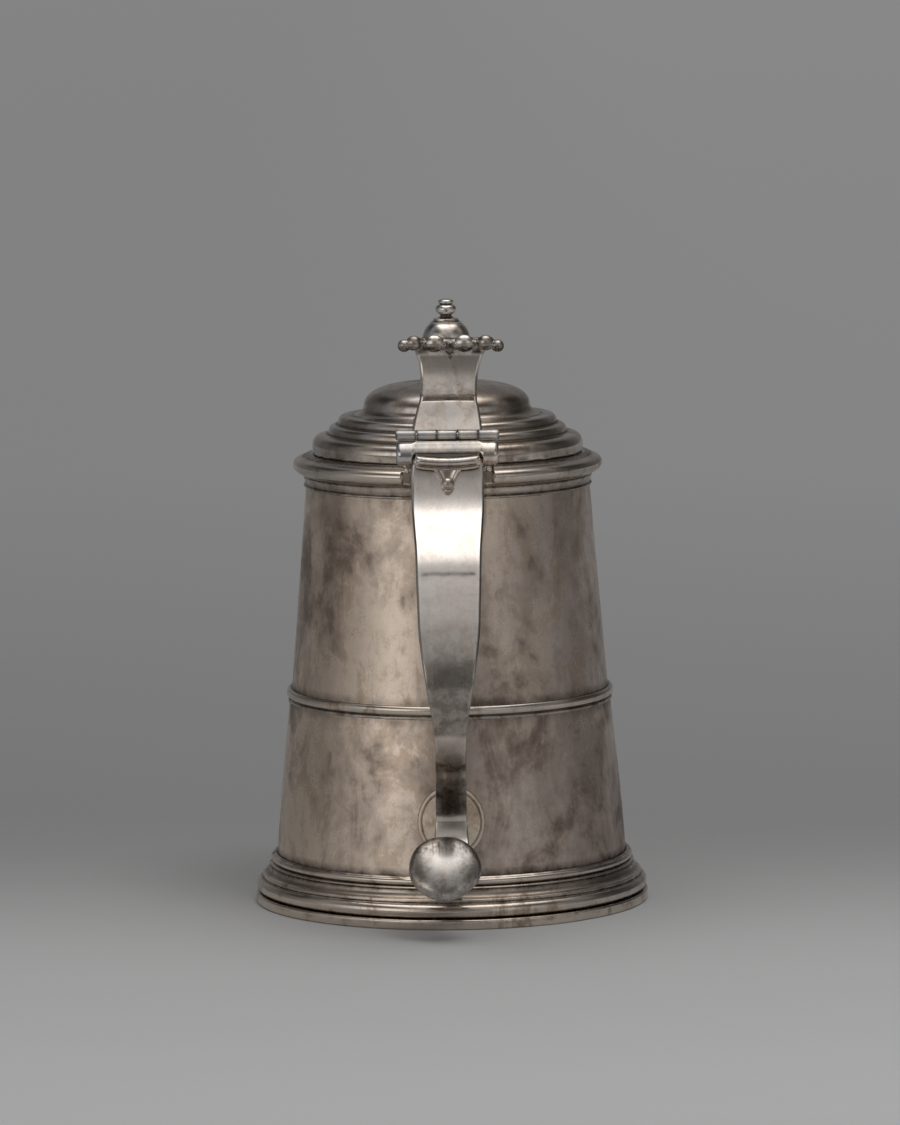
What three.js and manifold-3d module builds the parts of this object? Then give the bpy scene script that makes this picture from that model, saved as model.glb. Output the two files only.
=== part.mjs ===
// A lidded silver tankard: a raised, tapering barrel on a moulded foot, a stepped dome lid with a
// turned finial, a five-knuckle hinge with a beaded thumbpiece, and a hollow scroll handle.
// Millimetres, +Z up. The tankard stands on z = 0 and its handle points along -Y.
import * as THREE from "three";
import { mergeVertices } from "three/addons/utils/BufferGeometryUtils.js";
import Module from "manifold-3d";

const wasm = await Module();
wasm.setup();

// Driving dimensions
const ROUND_STEPS = 40; // facets round the barrel, foot and lid
const FINIAL_STEPS = 20;
const KNUCKLE_STEPS = 16;
const SEAT_GAP = 0.3; // air between two pieces that touch

const FOOT_RADIUS = 66.7;
const FOOT_BORE = 61.0;
const WIRE_TOP = 3.3;
const TORUS_TOP = 8.6;
const OGEE_TOP = 16.8;

const WALL = 1.1;
const BOTTOM_UNDERSIDE = 2.6;
const BOTTOM_THICKNESS = 1.4;
const CORNER_RADIUS = 1.5; // where the raised wall turns into the bottom
const RIM_TOP = 145.3;
// Outside radius of the barrel wall at each height, from the bottom to the rim
const BARREL_STATIONS = [
  [BOTTOM_UNDERSIDE, 60.4],
  [OGEE_TOP, 59.3],
  [40, 57.4],
  [68.4, 54.45],
  [73.2, 53.65],
  [95, 51.8],
  [120, 49.8],
  [RIM_TOP, 47.8],
];
const BAND_BOTTOM = 68.5;
const BAND_TOP = 73.1;
const RIM_MOULDING_BOTTOM = 141.4;
const RIM_RADIUS = 48.9;

const BRIM_UNDERSIDE = RIM_TOP + SEAT_GAP;
const BRIM_RADIUS = 52.45;
const BRIM_BORE = 44.5;
const BRIM_TOP = 152.6;
const NOTCH_HALF_WIDTH = 14.9;
const NOTCH_FLOOR = 49.2; // distance from the barrel axis
const BEZEL_RADIUS = 45.9;
const BEZEL_WALL = 1.2;
const BEZEL_DEPTH = 2.9;
const LEDGE_HEIGHT = 165.5;
const DOME_TOP = 177;
const FINIAL_TOP = 204.5;

const HINGE_OUT = 56.5; // distance from the barrel axis to the hinge axis
const HINGE_HEIGHT = 163.9;
const KNUCKLE_RADIUS = 1.6;
const KNUCKLE_BORE = 0.95;
const KNUCKLE_PITCH = 6.8;
const KNUCKLE_COUNT = 5;
const PIN_RADIUS = 0.75;
const LEAF_UNDERSIDE = HINGE_HEIGHT + KNUCKLE_RADIUS + SEAT_GAP;
const LEAF_THICKNESS = 1.3;

const PLATE_TOP = HINGE_HEIGHT - KNUCKLE_RADIUS - SEAT_GAP;
const STRAP_THICKNESS = 1.5;
const STRAP_CROWN = 0.35;
const HANDLE_STEPS = 32;
const TROUGH_WALL = 1.2;
const TROUGH_SIDES = 8;
const DISC_CENTRE_HEIGHT = 35;
const DISC_HALF_WIDTH = 11.2;
const DISC_HALF_HEIGHT = 12;
const DISC_THICKNESS = 1.3;
const BOSS_HALF_WIDTH = 12.2;
const BOSS_HALF_HEIGHT = 10.5;
const BOSS_DEPTH = 7.2;
const BOSS_CENTRE_HEIGHT = 23.6;
const BOSS_BACK_OUT = 83.1;
const BOSS_TILT = 0.42; // radians that the boss faces upwards
const BOSS_SIDE_SHIFT = -2.3; // the boss sits a little to the left of the handle's middle
const BEAD_ROW_SHIFT = 1.4; // the top of the thumbpiece leans a little to the right
const LIP_OUT = 55; // distance from the barrel axis to the thumbpiece's beaded lip

// Finishes
const silver = (color, roughness) =>
  new THREE.MeshStandardMaterial({ color, roughness, metalness: 1 });
const bodySilver = silver(0xa39a8e, 0.38);
const handleSilver = silver(0xb9b1a6, 0.26);
const mouldingSilver = silver(0xa89d8f, 0.3);
const hingeSilver = silver(0x8f857a, 0.34);

// A point of a piece that runs in the tankard's middle plane: half its width there, how far out
// towards the handle side it lies from the barrel axis, and its height.
const at = (half, out, up) => new THREE.Vector3(half, -out, up);

// Boolean joins and cuts work on closed meshes that share their vertices.
function solidOf(geometry) {
  const bare = geometry.clone();
  bare.deleteAttribute("normal");
  bare.deleteAttribute("uv");
  const merged = mergeVertices(bare, 1e-4);
  return new wasm.Manifold(
    new wasm.Mesh({
      numProp: 3,
      vertProperties: merged.attributes.position.array,
      triVerts: new Uint32Array(merged.index.array),
    }),
  );
}

function geometryOf(solid) {
  const mesh = solid.getMesh();
  const geometry = new THREE.BufferGeometry();
  geometry.setAttribute("position", new THREE.BufferAttribute(mesh.vertProperties, 3));
  geometry.setIndex(new THREE.BufferAttribute(mesh.triVerts, 1));
  geometry.computeVertexNormals();
  return geometry;
}

// Turns a closed profile of (radius, height) about the vertical axis.
function turned(profile, steps = ROUND_STEPS, curveDivisions = 3) {
  const points = profile.getPoints(curveDivisions);
  return new THREE.LatheGeometry(points, steps).rotateX(Math.PI / 2);
}

// A profile that starts at one corner and closes on itself.
function profileFrom(radius, height) {
  const profile = new THREE.Path();
  profile.moveTo(radius, height);
  return profile;
}

// A half-round bead on a profile, between two heights, standing proud of a radius.
function addBead(profile, radius, bottom, top, proud) {
  const middle = (bottom + top) / 2;
  const start = -Math.PI / 2;
  profile.absellipse(radius, middle, proud, (top - bottom) / 2, start, -start, false, 0);
}

// A thin reed, a ridge with one corner at its middle, where a full round would be too fine.
function addReed(profile, radius, bottom, top, proud) {
  profile.lineTo(radius, bottom);
  profile.lineTo(radius + proud, (bottom + top) / 2);
  profile.lineTo(radius, top);
}

// A closed skin over loops with the same number of points, with a fan over each end. Each loop runs
// clockwise as seen from the loop after it.
function lofted(loops) {
  const count = loops[0].length;
  const last = (loops.length - 1) * count;
  const index = [];
  for (let i = 0; i + 1 < loops.length; i++) {
    for (let j = 0; j < count; j++) {
      const a = i * count + j;
      const b = i * count + ((j + 1) % count);
      index.push(a, b + count, b, a, a + count, b + count);
    }
  }
  for (let j = 1; j + 1 < count; j++) {
    index.push(0, j, j + 1, last, last + j + 1, last + j);
  }
  const geometry = new THREE.BufferGeometry().setFromPoints(loops.flat());
  geometry.setIndex(index);
  geometry.computeVertexNormals();
  return geometry;
}

// Unit vectors square to a run of points in the middle plane, on the outer side of a run that
// goes down the handle side.
function outwardNormals(points) {
  return points.map((_, i) => {
    const before = points[Math.max(i - 1, 0)];
    const after = points[Math.min(i + 1, points.length - 1)];
    return new THREE.Vector3(0, after.z - before.z, before.y - after.y).normalize();
  });
}

// A plate whose outer face follows a run of points, with a crowned face and bevelled edges.
function plateAlong(points, thickness, crown) {
  const normals = outwardNormals(points);
  const loops = points.map((point, i) => {
    const half = point.x;
    const bevel = 0.2 * half;
    const section = [
      [-half, -thickness],
      [-half, -0.4 * thickness],
      [bevel - half, 0],
      [0, crown],
      [half - bevel, 0],
      [half, -0.4 * thickness],
      [half, -thickness],
    ];
    return section.map(([x, lift]) =>
      new THREE.Vector3(x, point.y, point.z).addScaledVector(normals[i], lift),
    );
  });
  return lofted(loops);
}

// The barrel wall's outside radius at a height.
function barrelRadius(height) {
  const next = BARREL_STATIONS.findIndex(([z]) => z >= height);
  if (next <= 0) return BARREL_STATIONS[0][1];
  const [z0, r0] = BARREL_STATIONS[next - 1];
  const [z1, r1] = BARREL_STATIONS[next];
  return THREE.MathUtils.mapLinear(height, z0, z1, r0, r1);
}

// The barrel as a full plug, grown outwards: what a piece that fits against the wall is cut by.
function barrelPlug(growth) {
  const profile = profileFrom(0, BOTTOM_UNDERSIDE);
  for (const [z, r] of BARREL_STATIONS) profile.lineTo(r + growth, z);
  profile.lineTo(0, RIM_TOP);
  return solidOf(turned(profile));
}

// Vessel

function barrel() {
  const floor = BOTTOM_UNDERSIDE + BOTTOM_THICKNESS;
  const cornerOut = barrelRadius(floor) - WALL;
  const profile = profileFrom(0, BOTTOM_UNDERSIDE);
  profile.lineTo(60.4 - CORNER_RADIUS, BOTTOM_UNDERSIDE);
  profile.quadraticCurveTo(60.4, BOTTOM_UNDERSIDE, 60.3, BOTTOM_UNDERSIDE + CORNER_RADIUS);
  for (const [z, r] of BARREL_STATIONS.slice(1)) profile.lineTo(r, z);
  for (const [z, r] of BARREL_STATIONS.slice(3).reverse()) profile.lineTo(r - WALL, z);
  profile.lineTo(cornerOut, floor + CORNER_RADIUS);
  profile.quadraticCurveTo(cornerOut, floor, cornerOut - CORNER_RADIUS, floor);
  profile.lineTo(0, floor);
  return turned(profile, ROUND_STEPS, 2);
}

function footRimWire() {
  const profile = profileFrom(FOOT_BORE, 0);
  profile.lineTo(FOOT_RADIUS - 0.4, 0);
  profile.lineTo(FOOT_RADIUS, 0.4);
  profile.lineTo(FOOT_RADIUS, WIRE_TOP - 0.6);
  profile.lineTo(FOOT_RADIUS - 0.6, WIRE_TOP);
  profile.lineTo(FOOT_BORE, WIRE_TOP);
  profile.closePath();
  return turned(profile);
}

function footTorusMoulding() {
  const bottom = WIRE_TOP + SEAT_GAP;
  const profile = profileFrom(FOOT_BORE, bottom);
  profile.lineTo(64.6, bottom);
  addBead(profile, 64.6, bottom, TORUS_TOP - 0.3, 1.8);
  profile.lineTo(64.6, TORUS_TOP);
  profile.lineTo(FOOT_BORE, TORUS_TOP);
  profile.closePath();
  return turned(profile);
}

function footOgeeMoulding() {
  const bottom = TORUS_TOP + SEAT_GAP;
  const profile = profileFrom(barrelRadius(bottom) + SEAT_GAP, bottom);
  profile.lineTo(64.5, bottom);
  profile.lineTo(64.4, bottom + 0.9);
  profile.lineTo(63.7, bottom + 1.2);
  profile.quadraticCurveTo(62.2, bottom + 1.5, 61.9, bottom + 3.8);
  addReed(profile, 61.5, bottom + 3.9, bottom + 4.7, 0.45);
  addBead(profile, 60.5, bottom + 5.0, OGEE_TOP - 0.6, 0.9);
  profile.lineTo(60.1, OGEE_TOP);
  profile.lineTo(barrelRadius(OGEE_TOP) + SEAT_GAP, OGEE_TOP);
  profile.closePath();
  return turned(profile, ROUND_STEPS, 2);
}

function middleBand() {
  const profile = profileFrom(barrelRadius(BAND_BOTTOM) + SEAT_GAP, BAND_BOTTOM);
  profile.lineTo(55.05, BAND_BOTTOM);
  profile.lineTo(55.05, BAND_BOTTOM + 1.1);
  addBead(profile, 54.85, BAND_BOTTOM + 1.4, BAND_TOP - 0.2, 0.6);
  profile.lineTo(54.6, BAND_TOP);
  profile.lineTo(barrelRadius(BAND_TOP) + SEAT_GAP, BAND_TOP);
  profile.closePath();
  return turned(profile, ROUND_STEPS, 2);
}

function rimMoulding() {
  const bottom = RIM_MOULDING_BOTTOM;
  const profile = profileFrom(barrelRadius(bottom) + SEAT_GAP, bottom);
  addReed(profile, 48.55, bottom, bottom + 1.1, 0.3);
  profile.quadraticCurveTo(48.5, bottom + 2.4, RIM_RADIUS, RIM_TOP - 0.6);
  profile.lineTo(RIM_RADIUS, RIM_TOP);
  profile.lineTo(barrelRadius(RIM_TOP) + SEAT_GAP, RIM_TOP);
  profile.closePath();
  return turned(profile, ROUND_STEPS, 2);
}

// Handle

// The outer face of the handle's strap, from the hinge down to the boss on its tail
function strapFace() {
  const stations = [
    at(10.8, 59.9, 158.6),
    at(12.0, 61.0, 150),
    at(12.0, 62.3, 145.6),
    at(11.9, 64.5, 141.8),
    at(11.7, 68.4, 138.3),
    at(11.3, 75, 133.7),
    at(10.95, 81.9, 129.3),
    at(10.8, 86.5, 125.4),
    at(10.65, 90.8, 120.6),
    at(10.4, 95.6, 113.8),
    at(10.0, 101.2, 104.1),
    at(8.7, 104.9, 92.9),
    at(7.3, 104.6, 83.4),
    at(5.7, 100.9, 73.5),
    at(5.1, 92.9, 63.4),
    at(5.1, 83.2, 54),
    at(5.1, 75.2, 45.1),
    at(5.1, 72, 39.6),
    at(5.3, 71.8, 36.4),
    at(5.7, 74.2, 31.2),
    at(6.2, 80.6, 27.5),
  ];
  return new THREE.CatmullRomCurve3(stations).getPoints(HANDLE_STEPS);
}

// The underside of the trough behind the strap, station by station with the strap's own
function troughUnderside() {
  const stations = [
    at(16, 43, 146),
    at(16, 43, 139),
    at(16, 43, 134),
    at(15.5, 43.5, 129),
    at(14, 50, 124),
    at(12.4, 59.5, 120),
    at(11.3, 69.5, 116.5),
    at(10.7, 74.5, 113),
    at(10.4, 78, 109.5),
    at(10.1, 82, 104),
    at(9.6, 87, 98.3),
    at(8.2, 91, 90.6),
    at(6.9, 91.6, 84.5),
    at(5.4, 90, 79.2),
    at(4.8, 84.6, 72.4),
    at(4.8, 75, 63.1),
    at(4.8, 64, 53),
    at(4.9, 56, 45),
    at(5.0, 52, 37),
    at(5.4, 60, 24.5),
    at(5.6, 83, 21),
  ];
  return new THREE.CatmullRomCurve3(stations).getPoints(HANDLE_STEPS);
}

// A D-shaped skin between the back of the strap and the underside, drawn in by an inset. It starts
// a lead above the strap's back, so that an inset one cuts the trough open along the strap.
function troughSkin(inset, lead, first) {
  const face = strapFace();
  const normals = outwardNormals(face);
  const under = troughUnderside();
  const back = STRAP_THICKNESS + SEAT_GAP - lead;
  const loops = [];
  for (let i = first; i < face.length; i++) {
    const start = new THREE.Vector3(0, face[i].y, face[i].z).addScaledVector(normals[i], -back);
    const depth = new THREE.Vector3(0, under[i].y, under[i].z).sub(start);
    depth.setLength(depth.length() - inset);
    const loop = [];
    for (let k = 0; k <= TROUGH_SIDES; k++) {
      const angle = (k / TROUGH_SIDES) * Math.PI;
      const share = Math.sin(angle) ** 0.8;
      const half = THREE.MathUtils.lerp(face[i].x - 0.5, under[i].x, share) - inset;
      const across = Math.sign(Math.cos(angle)) * Math.abs(Math.cos(angle)) ** 0.7;
      const point = start.clone().addScaledVector(depth, share);
      point.x = half * across;
      loop.push(point);
    }
    loops.push(loop);
  }
  return solidOf(lofted(loops));
}

function handleStrap() {
  return plateAlong(strapFace(), STRAP_THICKNESS, STRAP_CROWN);
}

function handleTrough() {
  const first = 2;
  const walls = troughSkin(0, 0, first).subtract(troughSkin(TROUGH_WALL, 1, first));
  const seated = walls
    .subtract(barrelPlug(SEAT_GAP))
    .subtract(rimClearance())
    .subtract(jointDiscSolid(SEAT_GAP));
  return geometryOf(seated);
}

// What the handle leaves free round the barrel's rim moulding.
function rimClearance() {
  const profile = profileFrom(0, RIM_MOULDING_BOTTOM - SEAT_GAP);
  profile.lineTo(RIM_RADIUS + SEAT_GAP, RIM_MOULDING_BOTTOM - SEAT_GAP);
  profile.lineTo(RIM_RADIUS + SEAT_GAP, BRIM_TOP);
  profile.lineTo(0, BRIM_TOP);
  return solidOf(turned(profile));
}

// The oval disc under the handle's lower end, bent to the barrel wall.
function jointDiscSolid(growth) {
  const outline = new THREE.CylinderGeometry(1, 1, 20, 32);
  outline.scale(DISC_HALF_WIDTH + growth, 1, DISC_HALF_HEIGHT + growth);
  outline.translate(0, -barrelRadius(DISC_CENTRE_HEIGHT), DISC_CENTRE_HEIGHT);
  const shell = barrelPlug(SEAT_GAP + DISC_THICKNESS + growth);
  return shell.intersect(solidOf(outline));
}

function lowerJointDisc() {
  return geometryOf(jointDiscSolid(0).subtract(barrelPlug(SEAT_GAP)));
}

// The domed oval boss on the handle's tail, its flat back against the strap's end.
function terminalBoss() {
  const profile = profileFrom(0, 0);
  profile.lineTo(0.86, 0);
  profile.quadraticCurveTo(1, 0.02, 1, 0.16);
  profile.bezierCurveTo(1, 0.62, 0.6, 1, 0, 1);
  const dome = new THREE.LatheGeometry(profile.getPoints(4), 24);
  dome.scale(BOSS_HALF_WIDTH, BOSS_DEPTH, BOSS_HALF_HEIGHT);
  dome.rotateX(Math.PI - BOSS_TILT);
  return dome.translate(BOSS_SIDE_SHIFT, -BOSS_BACK_OUT, BOSS_CENTRE_HEIGHT);
}

// The block that closes the handle's top: a body that stands in the lid's notch, and two ears that
// carry the ends of the hinge.
function handleHingePlate() {
  const side = new THREE.Shape();
  side.moveTo(49.8, 143.9);
  side.lineTo(59, 150.2);
  side.lineTo(57.8, PLATE_TOP);
  side.lineTo(49.8, PLATE_TOP);
  const body = extrudedAcross(side, NOTCH_HALF_WIDTH - 0.8);
  // Half width, the two distances out and the height of each level of the ears
  const levels = [
    [16.7, 49.8, 57.8, PLATE_TOP],
    [16.6, 49.8, 58.5, 155.4],
    [16.4, 53.1, 58.6, 154.4],
    [15.2, 53.1, 59, 150.4],
    [14.5, 53.1, 55.5, 147.9],
  ];
  const ears = lofted(
    levels.map(([half, near, far, up]) => [
      at(-half, near, up),
      at(-half, far, up),
      at(half, far, up),
      at(half, near, up),
    ]),
  );
  return geometryOf(solidOf(body).add(solidOf(ears)));
}

// Extrudes a side view of (distance out, height) across the middle plane.
function extrudedAcross(shape, halfWidth) {
  const geometry = new THREE.ExtrudeGeometry(shape, {
    depth: 2 * halfWidth,
    bevelEnabled: false,
    curveSegments: 3,
  });
  geometry.translate(0, 0, -halfWidth);
  // The shape's x runs out along -Y, its y runs up, and the extrusion runs across.
  const across = new THREE.Matrix4().makeBasis(
    new THREE.Vector3(0, -1, 0),
    new THREE.Vector3(0, 0, 1),
    new THREE.Vector3(-1, 0, 0),
  );
  return geometry.applyMatrix4(across);
}

// Two reeds in one strip, bowed a little, laid across the strap below the hinge.
function hingeMoulding() {
  const halfWidth = 10.8;
  const loops = [];
  for (let i = 0; i <= 8; i++) {
    const across = i / 4 - 1;
    const bow = 0.9 * across * across;
    // It starts in the valley between the reeds, the one corner that sees all the others.
    const section = [
      [0.8, 153.9],
      [1.5, 154.4],
      [2.1, 155.3],
      [1.5, 156.4],
      [0, 156.7],
      [0, 152.2],
      [0.9, 152.3],
      [1.3, 153.1],
    ];
    loops.push(
      section.map(([proud, up]) => {
        const face = strapFaceOut(up + bow) + STRAP_CROWN + SEAT_GAP;
        return new THREE.Vector3(halfWidth * across, -face - proud, up + bow);
      }),
    );
  }
  return lofted(loops);
}

// How far out the strap's face lies at a height on the steep stretch below the hinge.
function strapFaceOut(height) {
  return THREE.MathUtils.mapLinear(height, 158.6, 150, 59.9, 61.0);
}

// A small shield with a ball on it, hanging below the hinge moulding.
function pendantDrop() {
  const shield = new THREE.Shape();
  shield.moveTo(-4, 5);
  shield.quadraticCurveTo(-2.5, 3.8, -2.3, 0);
  shield.quadraticCurveTo(0, -2.6, 2.3, 0);
  shield.quadraticCurveTo(2.5, 3.8, 4, 5);
  const plate = new THREE.ExtrudeGeometry(shield, { depth: 1, bevelEnabled: false, curveSegments: 6 });
  const ball = new THREE.SphereGeometry(1.9, 12, 8);
  ball.translate(0, 1.3, 1.4);
  const drop = geometryOf(solidOf(plate).add(solidOf(ball)));
  drop.rotateX(Math.PI / 2 - 0.3);
  return drop.translate(0, -63.5, 147);
}

// Hinge

function knuckle(index) {
  const half = KNUCKLE_PITCH / 2 - SEAT_GAP / 2;
  const profile = profileFrom(KNUCKLE_BORE, -half);
  profile.lineTo(KNUCKLE_RADIUS, -half);
  profile.lineTo(KNUCKLE_RADIUS, half);
  profile.lineTo(KNUCKLE_BORE, half);
  profile.closePath();
  const across = (index - (KNUCKLE_COUNT - 1) / 2) * KNUCKLE_PITCH;
  const tube = new THREE.LatheGeometry(profile.getPoints(), KNUCKLE_STEPS);
  return tube.rotateZ(Math.PI / 2).translate(across, -HINGE_OUT, HINGE_HEIGHT);
}

function hingePin() {
  const length = KNUCKLE_COUNT * KNUCKLE_PITCH + 0.4;
  const pin = new THREE.CylinderGeometry(PIN_RADIUS, PIN_RADIUS, length, KNUCKLE_STEPS);
  return pin.rotateZ(Math.PI / 2).translate(0, -HINGE_OUT, HINGE_HEIGHT);
}

// Lid

function lidDome() {
  const profile = profileFrom(44.5, BRIM_TOP + SEAT_GAP);
  profile.lineTo(45.7, BRIM_TOP + SEAT_GAP);
  profile.lineTo(45.9, 155.4);
  profile.quadraticCurveTo(45.6, 158.8, 42.6, 159.0);
  profile.lineTo(40.3, 159.5);
  profile.quadraticCurveTo(40.4, 162.1, 38.4, 162.3);
  profile.lineTo(37.1, 162.6);
  profile.quadraticCurveTo(37.0, 165.2, 35.2, LEDGE_HEIGHT);
  profile.lineTo(32.4, LEDGE_HEIGHT);
  profile.quadraticCurveTo(28.5, 165.9, 28.2, 168.8);
  profile.bezierCurveTo(27.9, 172.2, 24.5, 174.6, 18, 175.7);
  profile.quadraticCurveTo(11, 176.9, 0, DOME_TOP);
  profile.lineTo(0, 175.8);
  profile.lineTo(20, 173.9);
  profile.lineTo(25.8, 171.2);
  profile.lineTo(27.1, 167.4);
  profile.lineTo(29.4, 164.5);
  profile.lineTo(34.9, 164.3);
  profile.lineTo(36, 161.4);
  profile.lineTo(39, 160.7);
  profile.lineTo(39.3, 158.3);
  profile.lineTo(44.5, 156.6);
  profile.closePath();
  return turned(profile, ROUND_STEPS, 2);
}

function lidBrim() {
  const profile = profileFrom(BRIM_BORE, BRIM_UNDERSIDE);
  profile.lineTo(49.0, BRIM_UNDERSIDE);
  profile.lineTo(50.6, 146.4);
  profile.quadraticCurveTo(52.4, 147.5, BRIM_RADIUS, 148.9);
  profile.quadraticCurveTo(52.3, 150.9, 49.5, 151.9);
  profile.lineTo(47.3, BRIM_TOP);
  profile.lineTo(BRIM_BORE, BRIM_TOP);
  profile.closePath();
  const ring = solidOf(turned(profile, ROUND_STEPS, 3));
  const notch = new THREE.BoxGeometry(2 * NOTCH_HALF_WIDTH, 20, 20);
  notch.translate(0, -NOTCH_FLOOR - 10, BRIM_TOP - 5);
  return geometryOf(ring.subtract(solidOf(notch)));
}

function lidBezel() {
  const profile = profileFrom(BEZEL_RADIUS - BEZEL_WALL, RIM_TOP - BEZEL_DEPTH);
  profile.lineTo(BEZEL_RADIUS - 0.3, RIM_TOP - BEZEL_DEPTH);
  profile.lineTo(BEZEL_RADIUS, RIM_TOP);
  profile.lineTo(BEZEL_RADIUS - BEZEL_WALL, RIM_TOP);
  profile.closePath();
  return turned(profile);
}

function finial() {
  const foot = DOME_TOP + SEAT_GAP;
  const profile = profileFrom(0, foot);
  profile.lineTo(7.8, foot);
  profile.lineTo(7.6, foot + 0.8);
  profile.quadraticCurveTo(4.2, foot + 1.6, 3.7, 183.5);
  profile.quadraticCurveTo(3.8, 188.2, 8.2, 189.6);
  profile.lineTo(8.5, 190.5);
  profile.lineTo(8.1, 191.6);
  profile.quadraticCurveTo(7.2, 193.8, 5.5, 196);
  profile.lineTo(5.3, 196.7);
  profile.lineTo(4.3, 197);
  profile.lineTo(4.2, 197.9);
  profile.lineTo(1.9, 198.5);
  addBead(profile, 1.8, 199.2, 202.6, 1.7);
  profile.lineTo(2.6, 203);
  profile.quadraticCurveTo(2.6, 204.4, 0, FINIAL_TOP);
  return turned(profile, FINIAL_STEPS);
}

// The leaf that ties the hinge to the lid: a plate on the ledge, its inner edge round the dome.
function lidHingeLeaf() {
  const innerRadius = 32;
  const half = 11.4;
  const sweep = Math.asin(half / innerRadius);
  const outline = new THREE.Shape();
  outline.moveTo(-half, -HINGE_OUT);
  outline.lineTo(half, -HINGE_OUT);
  outline.lineTo(half, -innerRadius * Math.cos(sweep));
  outline.absarc(0, 0, innerRadius, sweep - Math.PI / 2, -sweep - Math.PI / 2, true);
  const leaf = new THREE.ExtrudeGeometry(outline, {
    depth: LEAF_THICKNESS,
    bevelEnabled: false,
    curveSegments: 6,
  });
  return leaf.translate(0, 0, LEAF_UNDERSIDE);
}

// The back of the thumbpiece, from its curled lip down over a ledge to below the leaf, where it is
// cut flat
function thumbpieceBack() {
  return [
    at(14.4, LIP_OUT, 194.4),
    at(13.7, 51.5, 194.1),
    at(12.9, 47.2, 193.3),
    at(12.1, 43.8, 191.6),
    at(11.4, 41.9, 189.6),
    at(10.5, 41.4, 187.2),
    at(9.9, 42.1, 184.6),
    at(9.5, 43.4, 181.7),
    at(9.4, 46.0, 178.3),
    at(9.45, 49.6, 176.0),
    at(9.55, 52.9, 174.2),
    at(9.9, 54.0, 172.4),
    at(11.7, 57.1, 166.3),
  ];
}

// The beads along the thumbpiece's lip: across, height, radius
const BEADS = [
  [0, 193.9, 1.9],
  [5.4, 195.2, 2.1],
  [9.3, 194.3, 1.5],
  [12.3, 194.9, 1.6],
  [15.3, 194.1, 2.0],
];

function thumbpiece() {
  const plate = plateAlong(thumbpieceBack(), 2.0, 0.3);
  const shift = new THREE.Matrix4().makeShear(0, 0, 0, 0, BEAD_ROW_SHIFT / 28, 0);
  shift.setPosition(-(BEAD_ROW_SHIFT / 28) * 167, 0, 0);
  let casting = solidOf(plate.applyMatrix4(shift));
  for (const [across, up, radius] of BEADS) {
    for (const side of across > 0 ? [-1, 1] : [1]) {
      const bead = new THREE.SphereGeometry(radius, 10, 6);
      bead.translate(BEAD_ROW_SHIFT + side * across, -LIP_OUT, up);
      casting = casting.add(solidOf(bead));
    }
  }
  const below = new THREE.BoxGeometry(40, 40, 10);
  below.translate(0, -HINGE_OUT, LEAF_UNDERSIDE + LEAF_THICKNESS + SEAT_GAP - 5);
  return geometryOf(casting.subtract(solidOf(below)));
}

// Assembly

function piece(name, geometry, material) {
  const mesh = new THREE.Mesh(geometry, material);
  mesh.name = name;
  return mesh;
}

const vessel = new THREE.Group();
vessel.add(
  piece("barrel", barrel(), bodySilver),
  piece("foot_rim_wire", footRimWire(), mouldingSilver),
  piece("foot_torus_moulding", footTorusMoulding(), mouldingSilver),
  piece("foot_ogee_moulding", footOgeeMoulding(), mouldingSilver),
  piece("middle_band", middleBand(), mouldingSilver),
  piece("rim_moulding", rimMoulding(), mouldingSilver),
  piece("handle_strap", handleStrap(), handleSilver),
  piece("handle_trough", handleTrough(), handleSilver),
  piece("lower_joint_disc", lowerJointDisc(), bodySilver),
  piece("terminal_boss", terminalBoss(), handleSilver),
  piece("handle_hinge_plate", handleHingePlate(), hingeSilver),
  piece("hinge_moulding", hingeMoulding(), hingeSilver),
  piece("pendant_drop", pendantDrop(), hingeSilver),
  piece("hinge_pin", hingePin(), hingeSilver),
);

// The lid's group stands on the hinge axis, so that turning it about X opens the lid.
const lid = new THREE.Group();
lid.position.set(0, -HINGE_OUT, HINGE_HEIGHT);
const lidPieces = [
  piece("lid_dome", lidDome(), bodySilver),
  piece("lid_brim", lidBrim(), mouldingSilver),
  piece("lid_bezel", lidBezel(), mouldingSilver),
  piece("finial", finial(), mouldingSilver),
  piece("lid_hinge_leaf", lidHingeLeaf(), hingeSilver),
  piece("thumbpiece", thumbpiece(), handleSilver),
];

for (let i = 0; i < KNUCKLE_COUNT; i++) {
  if (i % 2 === 0) vessel.add(piece(`handle_knuckle_${i + 1}`, knuckle(i), hingeSilver));
  else lidPieces.push(piece(`lid_knuckle_${i + 1}`, knuckle(i), hingeSilver));
}
for (const mesh of lidPieces) {
  mesh.position.set(0, HINGE_OUT, -HINGE_HEIGHT);
  lid.add(mesh);
}

// The origin is the middle of the tankard's footprint, between the foot and the handle.
const tankard = new THREE.Group();
tankard.add(vessel, lid);
const box = new THREE.Box3().setFromObject(tankard);
tankard.position.y = -(box.min.y + box.max.y) / 2;

export default tankard;
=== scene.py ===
"""A lidded silver tankard on a plain grey sweep, dressed as aged, hand-worked silver.

Lengths are millimetres from the barrel's axis until a surface goes into its mesh, where they become
metres in the frame. "Out" is the distance from that axis towards the handle, which is along -Y.
"""

import logging
import math
from dataclasses import dataclass, field
from enum import Enum
from typing import Callable, Sequence

import bpy
import numpy as np
from mathutils import Matrix, Vector


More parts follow.
